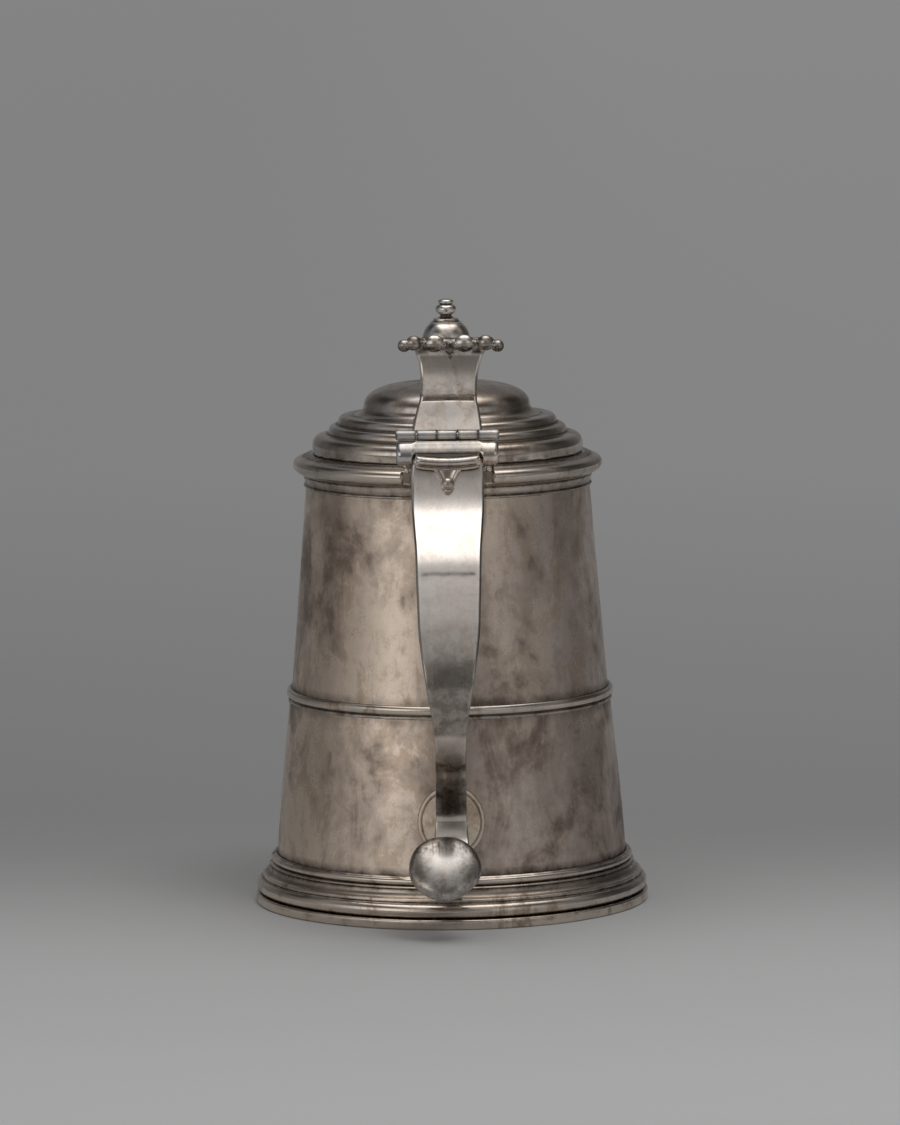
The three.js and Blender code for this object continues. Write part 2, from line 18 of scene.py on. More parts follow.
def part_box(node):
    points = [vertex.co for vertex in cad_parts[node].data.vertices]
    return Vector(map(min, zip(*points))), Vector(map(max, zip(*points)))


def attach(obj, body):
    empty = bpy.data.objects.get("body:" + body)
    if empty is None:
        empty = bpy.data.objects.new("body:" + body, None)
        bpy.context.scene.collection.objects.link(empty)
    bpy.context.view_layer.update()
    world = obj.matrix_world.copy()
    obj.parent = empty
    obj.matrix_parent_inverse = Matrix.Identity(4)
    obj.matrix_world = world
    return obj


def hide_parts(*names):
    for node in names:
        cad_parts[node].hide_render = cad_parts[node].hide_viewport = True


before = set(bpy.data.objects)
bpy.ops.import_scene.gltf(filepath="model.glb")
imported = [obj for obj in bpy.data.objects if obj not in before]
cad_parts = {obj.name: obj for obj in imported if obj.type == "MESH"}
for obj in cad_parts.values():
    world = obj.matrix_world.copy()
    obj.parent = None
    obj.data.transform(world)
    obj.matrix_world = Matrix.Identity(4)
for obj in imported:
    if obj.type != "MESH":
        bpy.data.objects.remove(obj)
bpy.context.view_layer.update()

LOG = logging.getLogger("tankard")
Array = np.ndarray
DirtAndPaintedShade = Callable[[Array], Array]

MM = 0.001
BARREL_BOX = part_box("barrel")
AXIS_Y = (BARREL_BOX[0].y + BARREL_BOX[1].y) / 2
DENSE_STEP = 0.08  # spacing of the points that a profile is first drawn with
ROUND_STEPS = 216  # columns round the barrel, foot and lid
SEAM = 0.06  # the fine dark line left between two soldered pieces
CAST_ROUNDS = 8  # how often a casting's corners are averaged to find its relief


class Body(Enum):
    """The two bodies that a piece can ride on."""

    VESSEL = "vessel"
    LID = "lid"


class Slot(Enum):
    """The record's material slots."""

    BARREL = "barrel_silver"
    MOULDING = "moulding_silver"
    LID = "lid_silver"
    FINIAL = "finial_silver"
    HANDLE = "handle_silver"
    HINGE = "hinge_silver"


class Grain(Enum):
    """Which way the fine scratches of a piece run, as scales along its X, Y and Z."""

    UPRIGHT = (1900.0, 1900.0, 60.0)
    ROUND = (45.0, 45.0, 2600.0)
    ALONG_HANDLE = (2400.0, 70.0, 70.0)
    ACROSS = (70.0, 1800.0, 1800.0)


# Plane outlines and profiles


class Profile:
    """A run of straight and curved strokes in one plane, kept as closely spaced points."""

    def __init__(self, x: float, y: float) -> None:
        """Starts the run at a point: a radius or a share, and a height or a lift."""
        self.runs: list[Array] = [np.array([[x, y]])]
        self.closed = False

    @property
    def end(self) -> Array:
        """The last point drawn."""
        return self.runs[-1][-1]

    def _add(self, length: float, stroke: Callable[[Array], Array]) -> "Profile":
        """Adds a stroke given as a function of t from 0 to 1, left out at t = 0.

        Args:
            length: about how long the stroke is, in mm.
            stroke: gives the points for a column of t.

        Returns:
            The profile.
        """
        t = np.linspace(0, 1, max(int(length / DENSE_STEP), 2) + 1)[1:, None]
        self.runs.append(stroke(t))
        return self

    def line(self, x: float, y: float) -> "Profile":
        """A straight stroke: start + t (end - start)."""
        a, b = self.end, np.array([x, y])
        return self._add(float(np.linalg.norm(b - a)), lambda t: a + t * (b - a))

    def curve(self, cx: float, cy: float, x: float, y: float) -> "Profile":
        """A quadratic stroke: (1-t)^2 start + 2t(1-t) control + t^2 end.

        Args:
            cx: first coordinate of the control.
            cy: its second coordinate.
            x: first coordinate of the end.
            y: its second coordinate.

        Returns:
            The profile.
        """
        a, c, b = self.end, np.array([cx, cy]), np.array([x, y])
        length = float(np.linalg.norm(c - a) + np.linalg.norm(b - c))
        return self._add(length, lambda t: (1 - t) ** 2 * a + 2 * t * (1 - t) * c + t**2 * b)

    def bow(self, c1: Sequence[float], c2: Sequence[float], end: Sequence[float]) -> "Profile":
        """A cubic stroke: (1-t)^3 start + 3t(1-t)^2 c1 + 3t^2(1-t) c2 + t^3 end.

        Args:
            c1: the control that it leaves towards.
            c2: the control that it comes in from.
            end: the end.

        Returns:
            The profile.
        """
        a, p, q, b = self.end, np.array(c1), np.array(c2), np.array(end)
        length = float(np.linalg.norm(p - a) + np.linalg.norm(q - p) + np.linalg.norm(b - q))

        def stroke(t: Array) -> Array:
            """The cubic at t."""
            u = 1 - t
            return u**3 * a + 3 * t * u**2 * p + 3 * t**2 * u * q + t**3 * b

        return self._add(length, stroke)

    def bead(self, radius: float, bottom: float, top: float, proud: float) -> "Profile":
        """A half-round bead: radius + proud cos(a), middle + half sin(a), a from -90 to 90 degrees.

        Args:
            radius: where its flat back is.
            bottom: its lower end, reached by a straight stroke.
            top: its upper end.
            proud: how far its middle stands out of its back.

        Returns:
            The profile.
        """
        middle, half = (top + bottom) / 2, (top - bottom) / 2
        self.line(radius, bottom)

        def stroke(t: Array) -> Array:
            """The half round at t."""
            angle = (t - 0.5) * math.pi
            return np.hstack([radius + proud * np.cos(angle), middle + half * np.sin(angle)])

        return self._add(math.pi * max(abs(half), proud), stroke)

    def through(self, points: Sequence[Sequence[float]]) -> "Profile":
        """A smooth stroke through points, as smooth_path draws it.

        Args:
            points: the points, the last of which is the end.

        Returns:
            The profile.
        """
        run = np.vstack([self.end, np.array(points, float)])
        length = float(np.linalg.norm(np.diff(run, axis=0), axis=1).sum())
        self.runs.append(smooth_path(run, max(int(length / DENSE_STEP), 8))[1:])
        return self

    def close(self) -> "Profile":
        """Goes straight back to the start, so that the profile is a ring.

        Returns:
            The profile.
        """
        start = self.runs[0][0]
        self.line(float(start[0]), float(start[1]))
        self.runs[-1] = self.runs[-1][:-1]
        self.closed = True
        return self

    def points(self) -> Array:
        """All the points drawn, as rows of two."""
        return np.vstack(self.runs)

    def worn(self, wear: float, coarse: float, turn: float, mirror_ends: bool = False) -> Array:
        """The run with its corners rounded by wear, and thinned out where it is straight.

        Args:
            wear: how far the rounding spreads.
            coarse: the widest spacing left.
            turn: the most that it bends between two points, in radians.
            mirror_ends: whether its ends are on the axis.

        Returns:
            The points that are left.
        """
        rounded = soften(self.points(), wear, self.closed, mirror_ends)
        return rounded[spread(rounded, coarse, turn)]


def smooth_path(stations: Array, count: int) -> Array:
    """A smooth curve through stations: cubic pieces from each station to the next, whose tangents
    come from the square roots of the distances between stations.

    Args:
        stations: rows of coordinates that the curve passes through.
        count: how many points to return, evenly spread in the curve's own parameter.

    Returns:
        An array of count rows.
    """
    p = np.vstack([2 * stations[0] - stations[1], stations, 2 * stations[-1] - stations[-2]])
    knots = np.sqrt(np.linalg.norm(np.diff(p, axis=0), axis=1))[:, None]
    speed = np.diff(p, axis=0) / knots
    across = (p[2:] - p[:-2]) / (knots[:-1] + knots[1:])
    tangent = speed[:-1] - across + speed[1:]
    t = np.linspace(0, len(stations) - 1, count)
    i = np.minimum(t.astype(int), len(stations) - 2)
    w = (t - i)[:, None]
    a, b, k = stations[i], stations[i + 1], knots[i + 1]
    ta, tb = tangent[i] * k, tangent[i + 1] * k
    return (
        a * (2 * w**3 - 3 * w**2 + 1)
        + ta * (w**3 - 2 * w**2 + w)
        + b * (3 * w**2 - 2 * w**3)
        + tb * (w**3 - w**2)
    )


def soften(points: Array, sigma: float, closed: bool, mirror_ends: bool = False) -> Array:
    """Rounds the corners of a dense run as wear does, by an average along its length whose weights
    are exp(-distance^2 / (2 sigma^2)).

    Args:
        points: rows of coordinates about DENSE_STEP apart.
        sigma: the average's spread along the run, in mm.
        closed: whether the run is a ring.
        mirror_ends: whether an open run goes on beyond its ends mirrored in the axis, x to -x,
            instead of through its end points.

    Returns:
        The rounded run, with as many rows.
    """
    reach = int(np.ceil(3 * sigma / DENSE_STEP))
    if reach < 1:
        return points.copy()
    if closed:
        padded = np.vstack([points[-reach:], points, points[:reach]])
    elif mirror_ends:
        flip = np.array([-1.0, 1.0])
        padded = np.vstack([points[reach:0:-1] * flip, points, points[-2 : -reach - 2 : -1] * flip])
    else:
        head = 2 * points[0] - points[reach:0:-1]
        tail = 2 * points[-1] - points[-2 : -reach - 2 : -1]
        padded = np.vstack([head, points, tail])
    k = np.arange(-reach, reach + 1) * DENSE_STEP
    weights = np.exp(-0.5 * (k / sigma) ** 2)
    weights /= weights.sum()
    return np.stack([np.convolve(padded[:, c], weights, "valid") for c in range(points.shape[1])], 1)


def right_normals(points: Array, closed: bool) -> Array:
    """Unit vectors square to a plane run, on its right-hand side as it is walked.

    Args:
        points: rows of two coordinates.
        closed: whether the run is a ring.

    Returns:
        One unit vector for each point.
    """
    if closed:
        step = np.roll(points, -1, 0) - np.roll(points, 1, 0)
    else:
        step = np.gradient(points, axis=0)
    side = np.stack([step[:, 1], -step[:, 0]], 1)
    return side / np.maximum(np.linalg.norm(side, axis=1, keepdims=True), 1e-9)


def spread(points: Array, coarse: float, turn: float) -> Array:
    """Picks points close together where a run bends and far apart where it is straight.

    Args:
        points: rows of a dense run.
        coarse: the widest spacing, in mm.
        turn: the most that the run may bend between two picked points, in radians.

    Returns:
        The picked indices, in order, with both ends.
    """
    step = np.diff(points, axis=0)
    length = np.linalg.norm(step, axis=1)
    angle = np.unwrap(np.arctan2(step[:, 1], step[:, 0]))
    bend = np.abs(np.gradient(angle))
    progress = np.concatenate([[0], np.cumsum(length / coarse + bend / turn)])
    wanted = np.linspace(0, progress[-1], max(int(np.ceil(progress[-1])), 8) + 1)
    return np.unique(np.searchsorted(progress, wanted).clip(0, len(points) - 1))


# Surfaces


@dataclass
class Surface:
    """A closed skin: corners in mm from the barrel's axis, faces, a relief mask and a dark mask of
    soiling and painted shade.
    """

    corners: Array
    quads: Array
    triangles: Array
    relief: Array
    grime_and_shade: Array

    def outward(self) -> "Surface":
        """Turns every face round if the skin's signed volume is negative.

        Returns:
            The skin itself.
        """
        fan = np.vstack([self.triangles, self.quads[:, [0, 1, 2]], self.quads[:, [0, 2, 3]]])
        a, b, c = (self.corners[fan[:, i]] for i in range(3))
        if np.einsum("ij,ij->", a, np.cross(b, c)) < 0:
            self.quads = self.quads[:, ::-1]
            self.triangles = self.triangles[:, ::-1]
        return self

    def joined(self, other: "Surface") -> "Surface":
        """This skin and another as one, with their corners kept apart.

        Args:
            other: the skin to add.

        Returns:
            A new skin.
        """
        shift = len(self.corners)
        return Surface(
            np.vstack([self.corners, other.corners]),
            np.vstack([self.quads, other.quads + shift]),
            np.vstack([self.triangles, other.triangles + shift]),
            np.concatenate([self.relief, other.relief]),
            np.concatenate([self.grime_and_shade, other.grime_and_shade]),
        )

    def mesh(self, name: str) -> bpy.types.Mesh:
        """The skin as a mesh in metres in the frame, smooth all over.

        Args:
            name: the mesh's name.

        Returns:
            The new mesh, with the float attributes relief and grime on its corners.
        """
        world = self.corners * MM + np.array([0.0, AXIS_Y, 0.0])
        loops = np.concatenate([self.quads.ravel(), self.triangles.ravel()])
        split = 4 * len(self.quads)
        starts = np.concatenate(
            [np.arange(0, split, 4), split + np.arange(0, 3 * len(self.triangles), 3)]
        )
        mesh = bpy.data.meshes.new(name)
        mesh.vertices.add(len(world))
        mesh.vertices.foreach_set("co", world.astype(np.float32).ravel())
        mesh.loops.add(len(loops))
        mesh.loops.foreach_set("vertex_index", loops.astype(np.int32))
        mesh.polygons.add(len(starts))
        mesh.polygons.foreach_set("loop_start", starts.astype(np.int32))
        mesh.update(calc_edges=True)
        mesh.validate()
        put_masks(mesh, self.relief, self.grime_and_shade)
        return mesh


def put_masks(mesh: bpy.types.Mesh, relief: Array, grime_and_shade: Array) -> None:
    """Writes the two masks to a mesh as float attributes, and shades it smooth.

    Args:
        mesh: the mesh.
        relief: one value for each corner, 1 on crests and -1 in grooves.
        grime_and_shade: one value for each corner, 1 where it is black, from soiling or from painted
            shade.
    """
    for key, values in (("relief", relief), ("grime_and_shade", grime_and_shade)):
        layer = mesh.attributes.new(key, "FLOAT", "POINT")
        layer.data.foreach_set("value", values.astype(np.float32))
    mesh.polygons.foreach_set("use_smooth", np.ones(len(mesh.polygons), bool))


def placed(x: Array, out: Array, up: Array) -> Array:
    """A grid of points from three grids that broadcast together: (x, -out, up)."""
    return np.stack(np.broadcast_arrays(x, -out, up), -1)


def round_over(edge: Array) -> Array:
    """A quarter round, sqrt(1 - (1 - edge)^2): 0 where edge is 0, and 1 where it is 1 or more."""
    return np.sqrt(1 - (1 - edge.clip(0, 1)) ** 2)


def grid_quads(count: int, columns: int, ring_rows: bool) -> Array:
    """The faces between the points of a grid whose columns close on themselves.

    Args:
        count: how many rows it has.
        columns: how many columns.
        ring_rows: whether the last row joins the first.

    Returns:
        The numbers of each face's corners, as rows of four.
    """
    row = np.arange(count if ring_rows else count - 1)[:, None]
    column = np.arange(columns)[None, :]
    beside = (column + 1) % columns
    above = (row + 1) % count
    corners = np.broadcast_arrays(
        row * columns + column,
        above * columns + column,
        above * columns + beside,
        row * columns + beside,
    )
    return np.stack(corners, -1).reshape(-1, 4)


def skin(
    rows: Array, relief: Array | None = None, grime_and_shade: Array | None = None,
    ring_rows: bool = False, poles: bool = False,
) -> Surface:
    """A closed skin over a grid of points whose columns always close on themselves.

    Args:
        rows: points as (row, column, xyz).
        relief: one value for each row, or an array that broadcasts to the grid. None is 0 all over.
        grime_and_shade: as relief.
        ring_rows: whether the last row joins the first, as on a ring.
        poles: whether the first and last rows are one point each, as where a profile meets the
            axis. Otherwise the end rows of an open skin are filled by fans round their middles.

    Returns:
        The skin, its faces turned outwards.
    """
    count, columns = rows.shape[:2]

    def mask(values: Array | None) -> Array:
        """One value for each grid point."""
        given = np.zeros(1) if values is None else values
        return np.broadcast_to(given if given.ndim == 2 else given[:, None], (count, columns))

    relief, grime_and_shade = mask(relief), mask(grime_and_shade)
    heads: list[Array] = []
    if poles:
        heads = [rows[0].mean(0), rows[-1].mean(0)]
        marks = [(relief[0, 0], grime_and_shade[0, 0]), (relief[-1, 0], grime_and_shade[-1, 0])]
        rows, relief, grime_and_shade = rows[1:-1], relief[1:-1], grime_and_shade[1:-1]
    elif not ring_rows:
        heads = [rows[0].mean(0), rows[-1].mean(0)]
        marks = [(0.0, 1.0), (0.0, 1.0)]
    count = len(rows)
    quads = grid_quads(count, columns, ring_rows)
    corners = rows.reshape(-1, 3)
    relief, grime_and_shade = relief.ravel(), grime_and_shade.ravel()
    triangles = np.zeros((0, 3), int)
    if heads:
        first = len(corners)
        around = np.arange(columns)
        ahead = (around + 1) % columns
        last = (count - 1) * columns
        low = np.stack([np.full(columns, first), around, ahead], 1)
        high = np.stack([np.full(columns, first + 1), last + ahead, last + around], 1)
        triangles = np.vstack([low, high])
        corners = np.vstack([corners, heads])
        relief = np.concatenate([relief, [m[0] for m in marks]])
        grime_and_shade = np.concatenate([grime_and_shade, [m[1] for m in marks]])
    return Surface(corners, quads, triangles, relief, grime_and_shade).outward()


@dataclass(frozen=True)
class HandWork:
    """How far from true the raised and turned silver is. It is the same for all that fits together."""

    out_of_round: float = 0.16
    ripple: float = 0.05
    ripples: int = 7
    lean: float = 0.012  # the most that a slow wave turns with height, in radians per mm
    seed: int = 11

    def offset(self, angle: Array, height: Array) -> Array:
        """How far the surface lies inside the true circle, never outside it.

        The offset is a sum of slow waves round the piece, which lean a little with height, and of
        shallow ripples 14 to 34 mm long, shifted so that it never rises over 0.

        Args:
            angle: the place round the axis, in radians.
            height: the place along the axis, in mm.

        Returns:
            The offset in mm, zero or less.
        """
        draw = np.random.default_rng(self.seed)
        slow = np.zeros(np.broadcast(angle, height).shape)
        for order in (2, 3, 4, 5):
            lean, phase = draw.uniform(-self.lean, self.lean), draw.uniform(0, 2 * np.pi)
            slow = slow + np.cos(order * angle + lean * height + phase) / order
        fine = np.zeros_like(slow)
        for _ in range(self.ripples):
            order, pitch = draw.integers(7, 20), draw.uniform(14, 34)
            phase = draw.uniform(0, 2 * np.pi)
            wave = np.sin(order * angle + phase + 2 * np.pi * height / pitch)
            fine = fine + wave / self.ripples
        return self.out_of_round * (slow / 1.3 - 1) * 0.5 + self.ripple * (fine - 1) * 0.5


@dataclass(frozen=True)
class Solder:
    """Small lumps of solder left along a joint, at one radius and height of a turned piece."""

    radius: float
    height: float
    count: int
    lump: float
    seed: int

    def proud(self, angle: Array, radius: Array, height: Array) -> Array:
        """How far the lumps stand proud: bell-shaped humps round the joint, fading away from it.

        Args:
            angle: the place round the axis.
            radius: the distance from the axis.
            height: the height.

        Returns:
            The lumps' height in mm.
        """
        draw = np.random.default_rng(self.seed)
        places = draw.uniform(-np.pi, np.pi, self.count)
        widths = draw.uniform(0.5, 1.8, self.count) / self.radius
        sizes = self.lump * draw.uniform(0.3, 1.0, self.count) ** 2
        gap = (angle[..., None] - places + np.pi) % (2 * np.pi) - np.pi
        humps = (sizes * np.exp(-((gap / widths) ** 2))).sum(-1)
        near = np.exp(-(((radius - self.radius) ** 2 + (height - self.height) ** 2) / 0.5))
        return humps * near


@dataclass(frozen=True)
class Lathe:
    """Turns profiles of (radius, height) about the barrel's axis."""

    steps: int = ROUND_STEPS
    work: HandWork | None = HandWork()
    wear: float = 0.14
    coarse: float = 3.0
    turn: float = 0.16
    blur: float = 0.7  # spread of the average that relief is measured from
    crest: float = 0.16  # how far out of that average a full crest stands
    grime_reach: float = 0.55
    core: float = 20.0  # the hand work fades out inside this radius

    def section(
        self, profile: Profile, joints: Sequence[Sequence[float]]
    ) -> tuple[Array, Array, Array]:
        """The worn profile, thinned out, with its wear masks.

        Relief is how far the profile stands out of its own softened line, so it is positive on
        crests and negative in grooves. Grime fades from 1 at a joint over about half a millimetre.

        Args:
            profile: the profile as drawn.
            joints: points (radius, height) where it meets another piece.

        Returns:
            The picked points, their relief and their grime.
        """
        drawn = profile.points()
        mirrored = not profile.closed
        worn = soften(drawn, self.wear, profile.closed, mirrored)
        blurred = soften(worn, self.blur, profile.closed, mirrored)
        x, y = worn[:, 0], worn[:, 1]
        turning = np.sign(np.sum(x * np.roll(y, -1) - np.roll(x, -1) * y))
        normals = right_normals(worn, profile.closed) * turning
        relief = np.einsum("ij,ij->i", worn - blurred, normals) / self.crest
        grime_and_shade = np.zeros(len(worn))
        for joint in joints:
            gap = np.linalg.norm(worn - np.array(joint), axis=1)
            grime_and_shade = np.maximum(grime_and_shade, np.exp(-((gap / self.grime_reach) ** 2)))
        keep = spread(worn, self.coarse, self.turn)
        return worn[keep], relief[keep].clip(-1, 1), grime_and_shade[keep]

    def turned(
        self,
        profile: Profile,
        joints: Sequence[Sequence[float]] = (),
        solder: Sequence[Solder] = (),
        columns: Callable[[Array], Array] | None = None,
    ) -> Surface:
        """A turned piece: x = r sin(a), y = -r cos(a), z = height, for each angle a.

        Args:
            profile: a ring, or an open run whose two ends are on the axis.
            joints: where it meets other pieces, for the grime.
            solder: lumps of solder on it.
            columns: gives the points for all the rows in place of the formula above.

        Returns:
            The closed skin.
        """
        points, relief, grime_and_shade = self.section(profile, joints)
        angle = np.arange(self.steps)[None, :] * 2 * np.pi / self.steps
        radius, height = points[:, :1], points[:, 1:]
        grow = np.zeros((len(points), self.steps))
        if self.work:
            fade = np.clip(radius / self.core, 0, 1)
            grow = grow + fade * self.work.offset(angle, height)
        for line in solder:
            lumps = line.proud(angle, radius, height)
            grow = grow + lumps
            grime_and_shade = np.maximum(grime_and_shade if grime_and_shade.ndim == 2 else grime_and_shade[:, None], 0.5 * (lumps > 0.05))
        r = np.maximum(radius + grow, 0)
        if columns:
            rows = columns(np.stack(np.broadcast_arrays(r, angle, height), -1))
        else:
            rows = placed(r * np.sin(angle), r * np.cos(angle), height)
        return skin(rows, relief, grime_and_shade, ring_rows=profile.closed, poles=not profile.closed)


@dataclass(frozen=True)
class Section:
    """A closed section of (share across, lift), carried along a path in the middle plane."""

    across: Array
    lift: Array
    relief: Array

    @staticmethod
    def plate(thickness: float, crown: float, bevel: float, half: float) -> "Section":
        """A plate with a crowned outer face and bevelled edges, its corners worn round.

        Args:
            thickness: from the outer face to the flat back.
            crown: how far the face's middle stands proud of its sides.
            bevel: the share of the half width that the bevel takes.
            half: the half width at which the corners are rounded.

        Returns:
            The section.
        """
        wear, blur, crest = 0.13, 0.6, 0.14
        inner, edge = half * (1 - bevel), -0.4 * thickness
        drawn = Profile(-half, -thickness).line(-half, edge).line(-inner, 0)
        drawn.curve(0, 2 * crown, inner, 0).line(half, edge).line(half, -thickness)
        worn = soften(drawn.close().points(), wear, True)
        proud = worn - soften(worn, blur, True)
        relief = np.einsum("ij,ij->i", proud, -right_normals(worn, True))
        keep = spread(worn, 0.8, 0.22)
        worn, relief = worn[keep], (relief / crest)[keep].clip(-1, 1)
        return Section(worn[:, 0] / half, worn[:, 1], relief)

    def carried(self, path: Array, taper: float = 0.0, scale: Array | float = 1.0) -> Surface:
        """The section at every station of a path: point + across * half * X + lift * normal.

        Args:
            path: rows of (half width, out, up).
            taper: the length over which the ends thin out to a rounded edge, in mm.
            scale: how thick the section is at each station, as a share of its own lift.

        Returns:
            The closed skin, its ends filled.
        """
        half, out, up = path.T
        d_out, d_up = np.gradient(out), np.gradient(up)
        size = np.hypot(d_out, d_up)
        normal = np.stack([-d_up / size, d_out / size], 1)
        run = np.concatenate([[0], np.cumsum(np.hypot(np.diff(out), np.diff(up)))])
        thin = np.ones(len(path))
        if taper > 0:
            edge = np.minimum(run, run[-1] - run) / taper
            thin = np.sqrt(np.clip(1 - (1 - np.clip(edge, 0, 1)) ** 2, 0.02, 1))
        middle = (self.lift.max() + self.lift.min()) / 2
        lift = middle + (self.lift[None, :] - middle) * thin[:, None]
        lift = lift * np.broadcast_to(scale, len(path))[:, None]
        rows = placed(
            half[:, None] * self.across[None, :],
            out[:, None] + lift * normal[:, :1],
            up[:, None] + lift * normal[:, 1:],
        )
        return skin(rows, self.relief[None, :])


def ball(centre: Sequence[float], radii: Sequence[float], steps: int = 28) -> Surface:
    """An ellipsoid: centre + radii * (cos(b) sin(a), cos(b) cos(a), sin(b)).

    Args:
        centre: x, y and z of the middle.
        radii: half sizes along X, Y and Z.
        steps: columns round it, with half as many rows.

    Returns:
        The closed skin.
    """
    b = np.linspace(-np.pi / 2, np.pi / 2, steps // 2 + 1)[:, None]
    a = np.arange(steps)[None, :] * 2 * np.pi / steps
    unit = placed(np.cos(b) * np.sin(a), -np.cos(b) * np.cos(a), np.sin(b))
    return skin(np.array(centre) + unit * np.array(radii), poles=True)


def ease(value: Array, low: float, high: float) -> Array:
    """A smooth step from 0 below low to 1 above high."""
    t = np.clip((value - low) / (high - low), 0, 1)
    return t * t * (3 - 2 * t)


# Finishes


class NodeBench:
    """Places and links shader nodes in one tree."""

    def __init__(self, tree: bpy.types.NodeTree) -> None:
        """Takes the tree to work on."""
        self.tree = tree

    def node(self, kind: str, **values: object) -> bpy.types.Node:
        """A new node, with sockets set by name or linked, and properties set by name.

        Args:
            kind: the node's type name.
            **values: sockets by their name with _ for spaces, or the node's own properties.

        Returns:
            The node.
        """
        made = self.tree.nodes.new(kind)
        for key, value in values.items():
            if hasattr(made, key):
                setattr(made, key, value)
        for key, value in values.items():
            if not hasattr(made, key):
                self.put(made.inputs[key.replace("_", " ")], value)
        return made

    def put(self, socket: bpy.types.NodeSocket, value: object) -> None:
        """Links a socket to another, or sets its value.

        Args:
            socket: the input to fill.
            value: an output socket, or a plain value.
        """
        if isinstance(value, bpy.types.NodeSocket):
            self.tree.links.new(value, socket)
        else:
            socket.default_value = value

    def calc(
        self, operation: str, a: object, b: object = 0.0, c: object = 0.0
    ) -> bpy.types.NodeSocket:
        """The result of one Math node.

        Args:
            operation: its operation.
            a: the first value or socket.
            b: the second.
            c: the third.

        Returns:
            The output socket.
        """
        made = self.tree.nodes.new("ShaderNodeMath")
        made.operation = operation
        for socket, value in zip(made.inputs, (a, b, c)):
            self.put(socket, value)
        return made.outputs[0]

    def span(
        self, value: object, low: float, high: float, to_low: float = 0.0, to_high: float = 1.0
    ) -> bpy.types.NodeSocket:
        """A smooth Map Range from low..high to to_low..to_high.

        Args:
            value: the value or socket to map.
            low: where the step starts.
            high: where it ends.
            to_low: the result at low and below.
            to_high: the result at high and above.

        Returns:
            The output socket.
        """
        made = self.node("ShaderNodeMapRange", interpolation_type="SMOOTHSTEP")
        for index, item in enumerate((value, low, high, to_low, to_high)):
            self.put(made.inputs[index], item)
        return made.outputs[0]

    def blend(self, share: object, a: object, b: object) -> bpy.types.NodeSocket:
        """A colour mix from a to b.

        Args:
            share: how much of b there is.
            a: the first colour or socket.
            b: the second.

        Returns:
            The colour's socket.
        """
        made = self.tree.nodes.new("ShaderNodeMix")
        made.data_type = "RGBA"
        colours = [s for s in made.inputs if s.type == "RGBA"]
        self.put(made.inputs[0], share)
        self.put(colours[0], a)
        self.put(colours[1], b)
        return next(s for s in made.outputs if s.type == "RGBA")

    def noise(
        self, vector: object, scale: object, detail: float = 4.0, rough: float = 0.55,
        warp: float = 0.0,
    ) -> bpy.types.NodeSocket:
        """The value of a noise texture.

        Args:
            vector: the place to read it at.
            scale: how fine it is.
            detail: how many finer layers lie over it.
            rough: how strong these are.
            warp: how far it is distorted.

        Returns:
            The output socket.
        """
        made = self.node(
            "ShaderNodeTexNoise", Vector=vector, Scale=scale, Detail=detail, Roughness=rough,
            Distortion=warp,
        )
        return made.outputs[0]

    def stretched(self, vector: object, scale: Sequence[float]) -> bpy.types.NodeSocket:
        """A vector scaled along each axis."""
        return self.node("ShaderNodeMapping", Vector=vector, Scale=tuple(scale)).outputs[0]

    def curve(self, value: object, stops: Sequence[Sequence[float]]) -> bpy.types.NodeSocket:
        """A smooth curve over the range of some stops, as a ramp whose levels are scaled to 1.

        Args:
            value: where on the curve to read it.
            stops: rows of (value, level), the values rising.

        Returns:
            The level's socket.
        """
        low, high = stops[0][0], stops[-1][0]
        peak = max(level for _, level in stops)
        share = self.node("ShaderNodeMapRange")
        for index, item in enumerate((value, low, high)):
            self.put(share.inputs[index], item)
        ramp = self.node("ShaderNodeValToRGB", Fac=share.outputs[0])
        ramp.color_ramp.interpolation = "B_SPLINE"
        marks = ramp.color_ramp.elements
        marks.remove(marks[1])
        for index, (place, level) in enumerate(stops):
            mark = marks[0] if index == 0 else marks.new((place - low) / (high - low))
            mark.position = (place - low) / (high - low)
            mark.color = (level / peak, level / peak, level / peak, 1.0)
        return self.calc("MULTIPLY", ramp.outputs["Color"], peak)


def new_group(name: str, inputs: dict[str, object], outputs: dict[str, str]) -> tuple:
    """A shader node group with named sockets.

    Args:
        name: the group's name.
        inputs: each input's name with its default, whose type sets the socket's type.
        outputs: each output's name with its socket type.

    Returns:
        The tree, a bench on it, its input node and its output node.
    """
    tree = bpy.data.node_groups.new(name, "ShaderNodeTree")
    for key, value in inputs.items():
        kind = "NodeSocketFloat" if isinstance(value, float) else "NodeSocketColor"
        if value is None:
            kind = "NodeSocketVector"
        socket = tree.interface.new_socket(name=key, in_out="INPUT", socket_type=kind)
        if value is not None:
            socket.default_value = value
    for key, kind in outputs.items():
        tree.interface.new_socket(name=key, in_out="OUTPUT", socket_type=kind)
    bench = NodeBench(tree)
    return tree, bench, bench.node("NodeGroupInput"), bench.node("NodeGroupOutput")


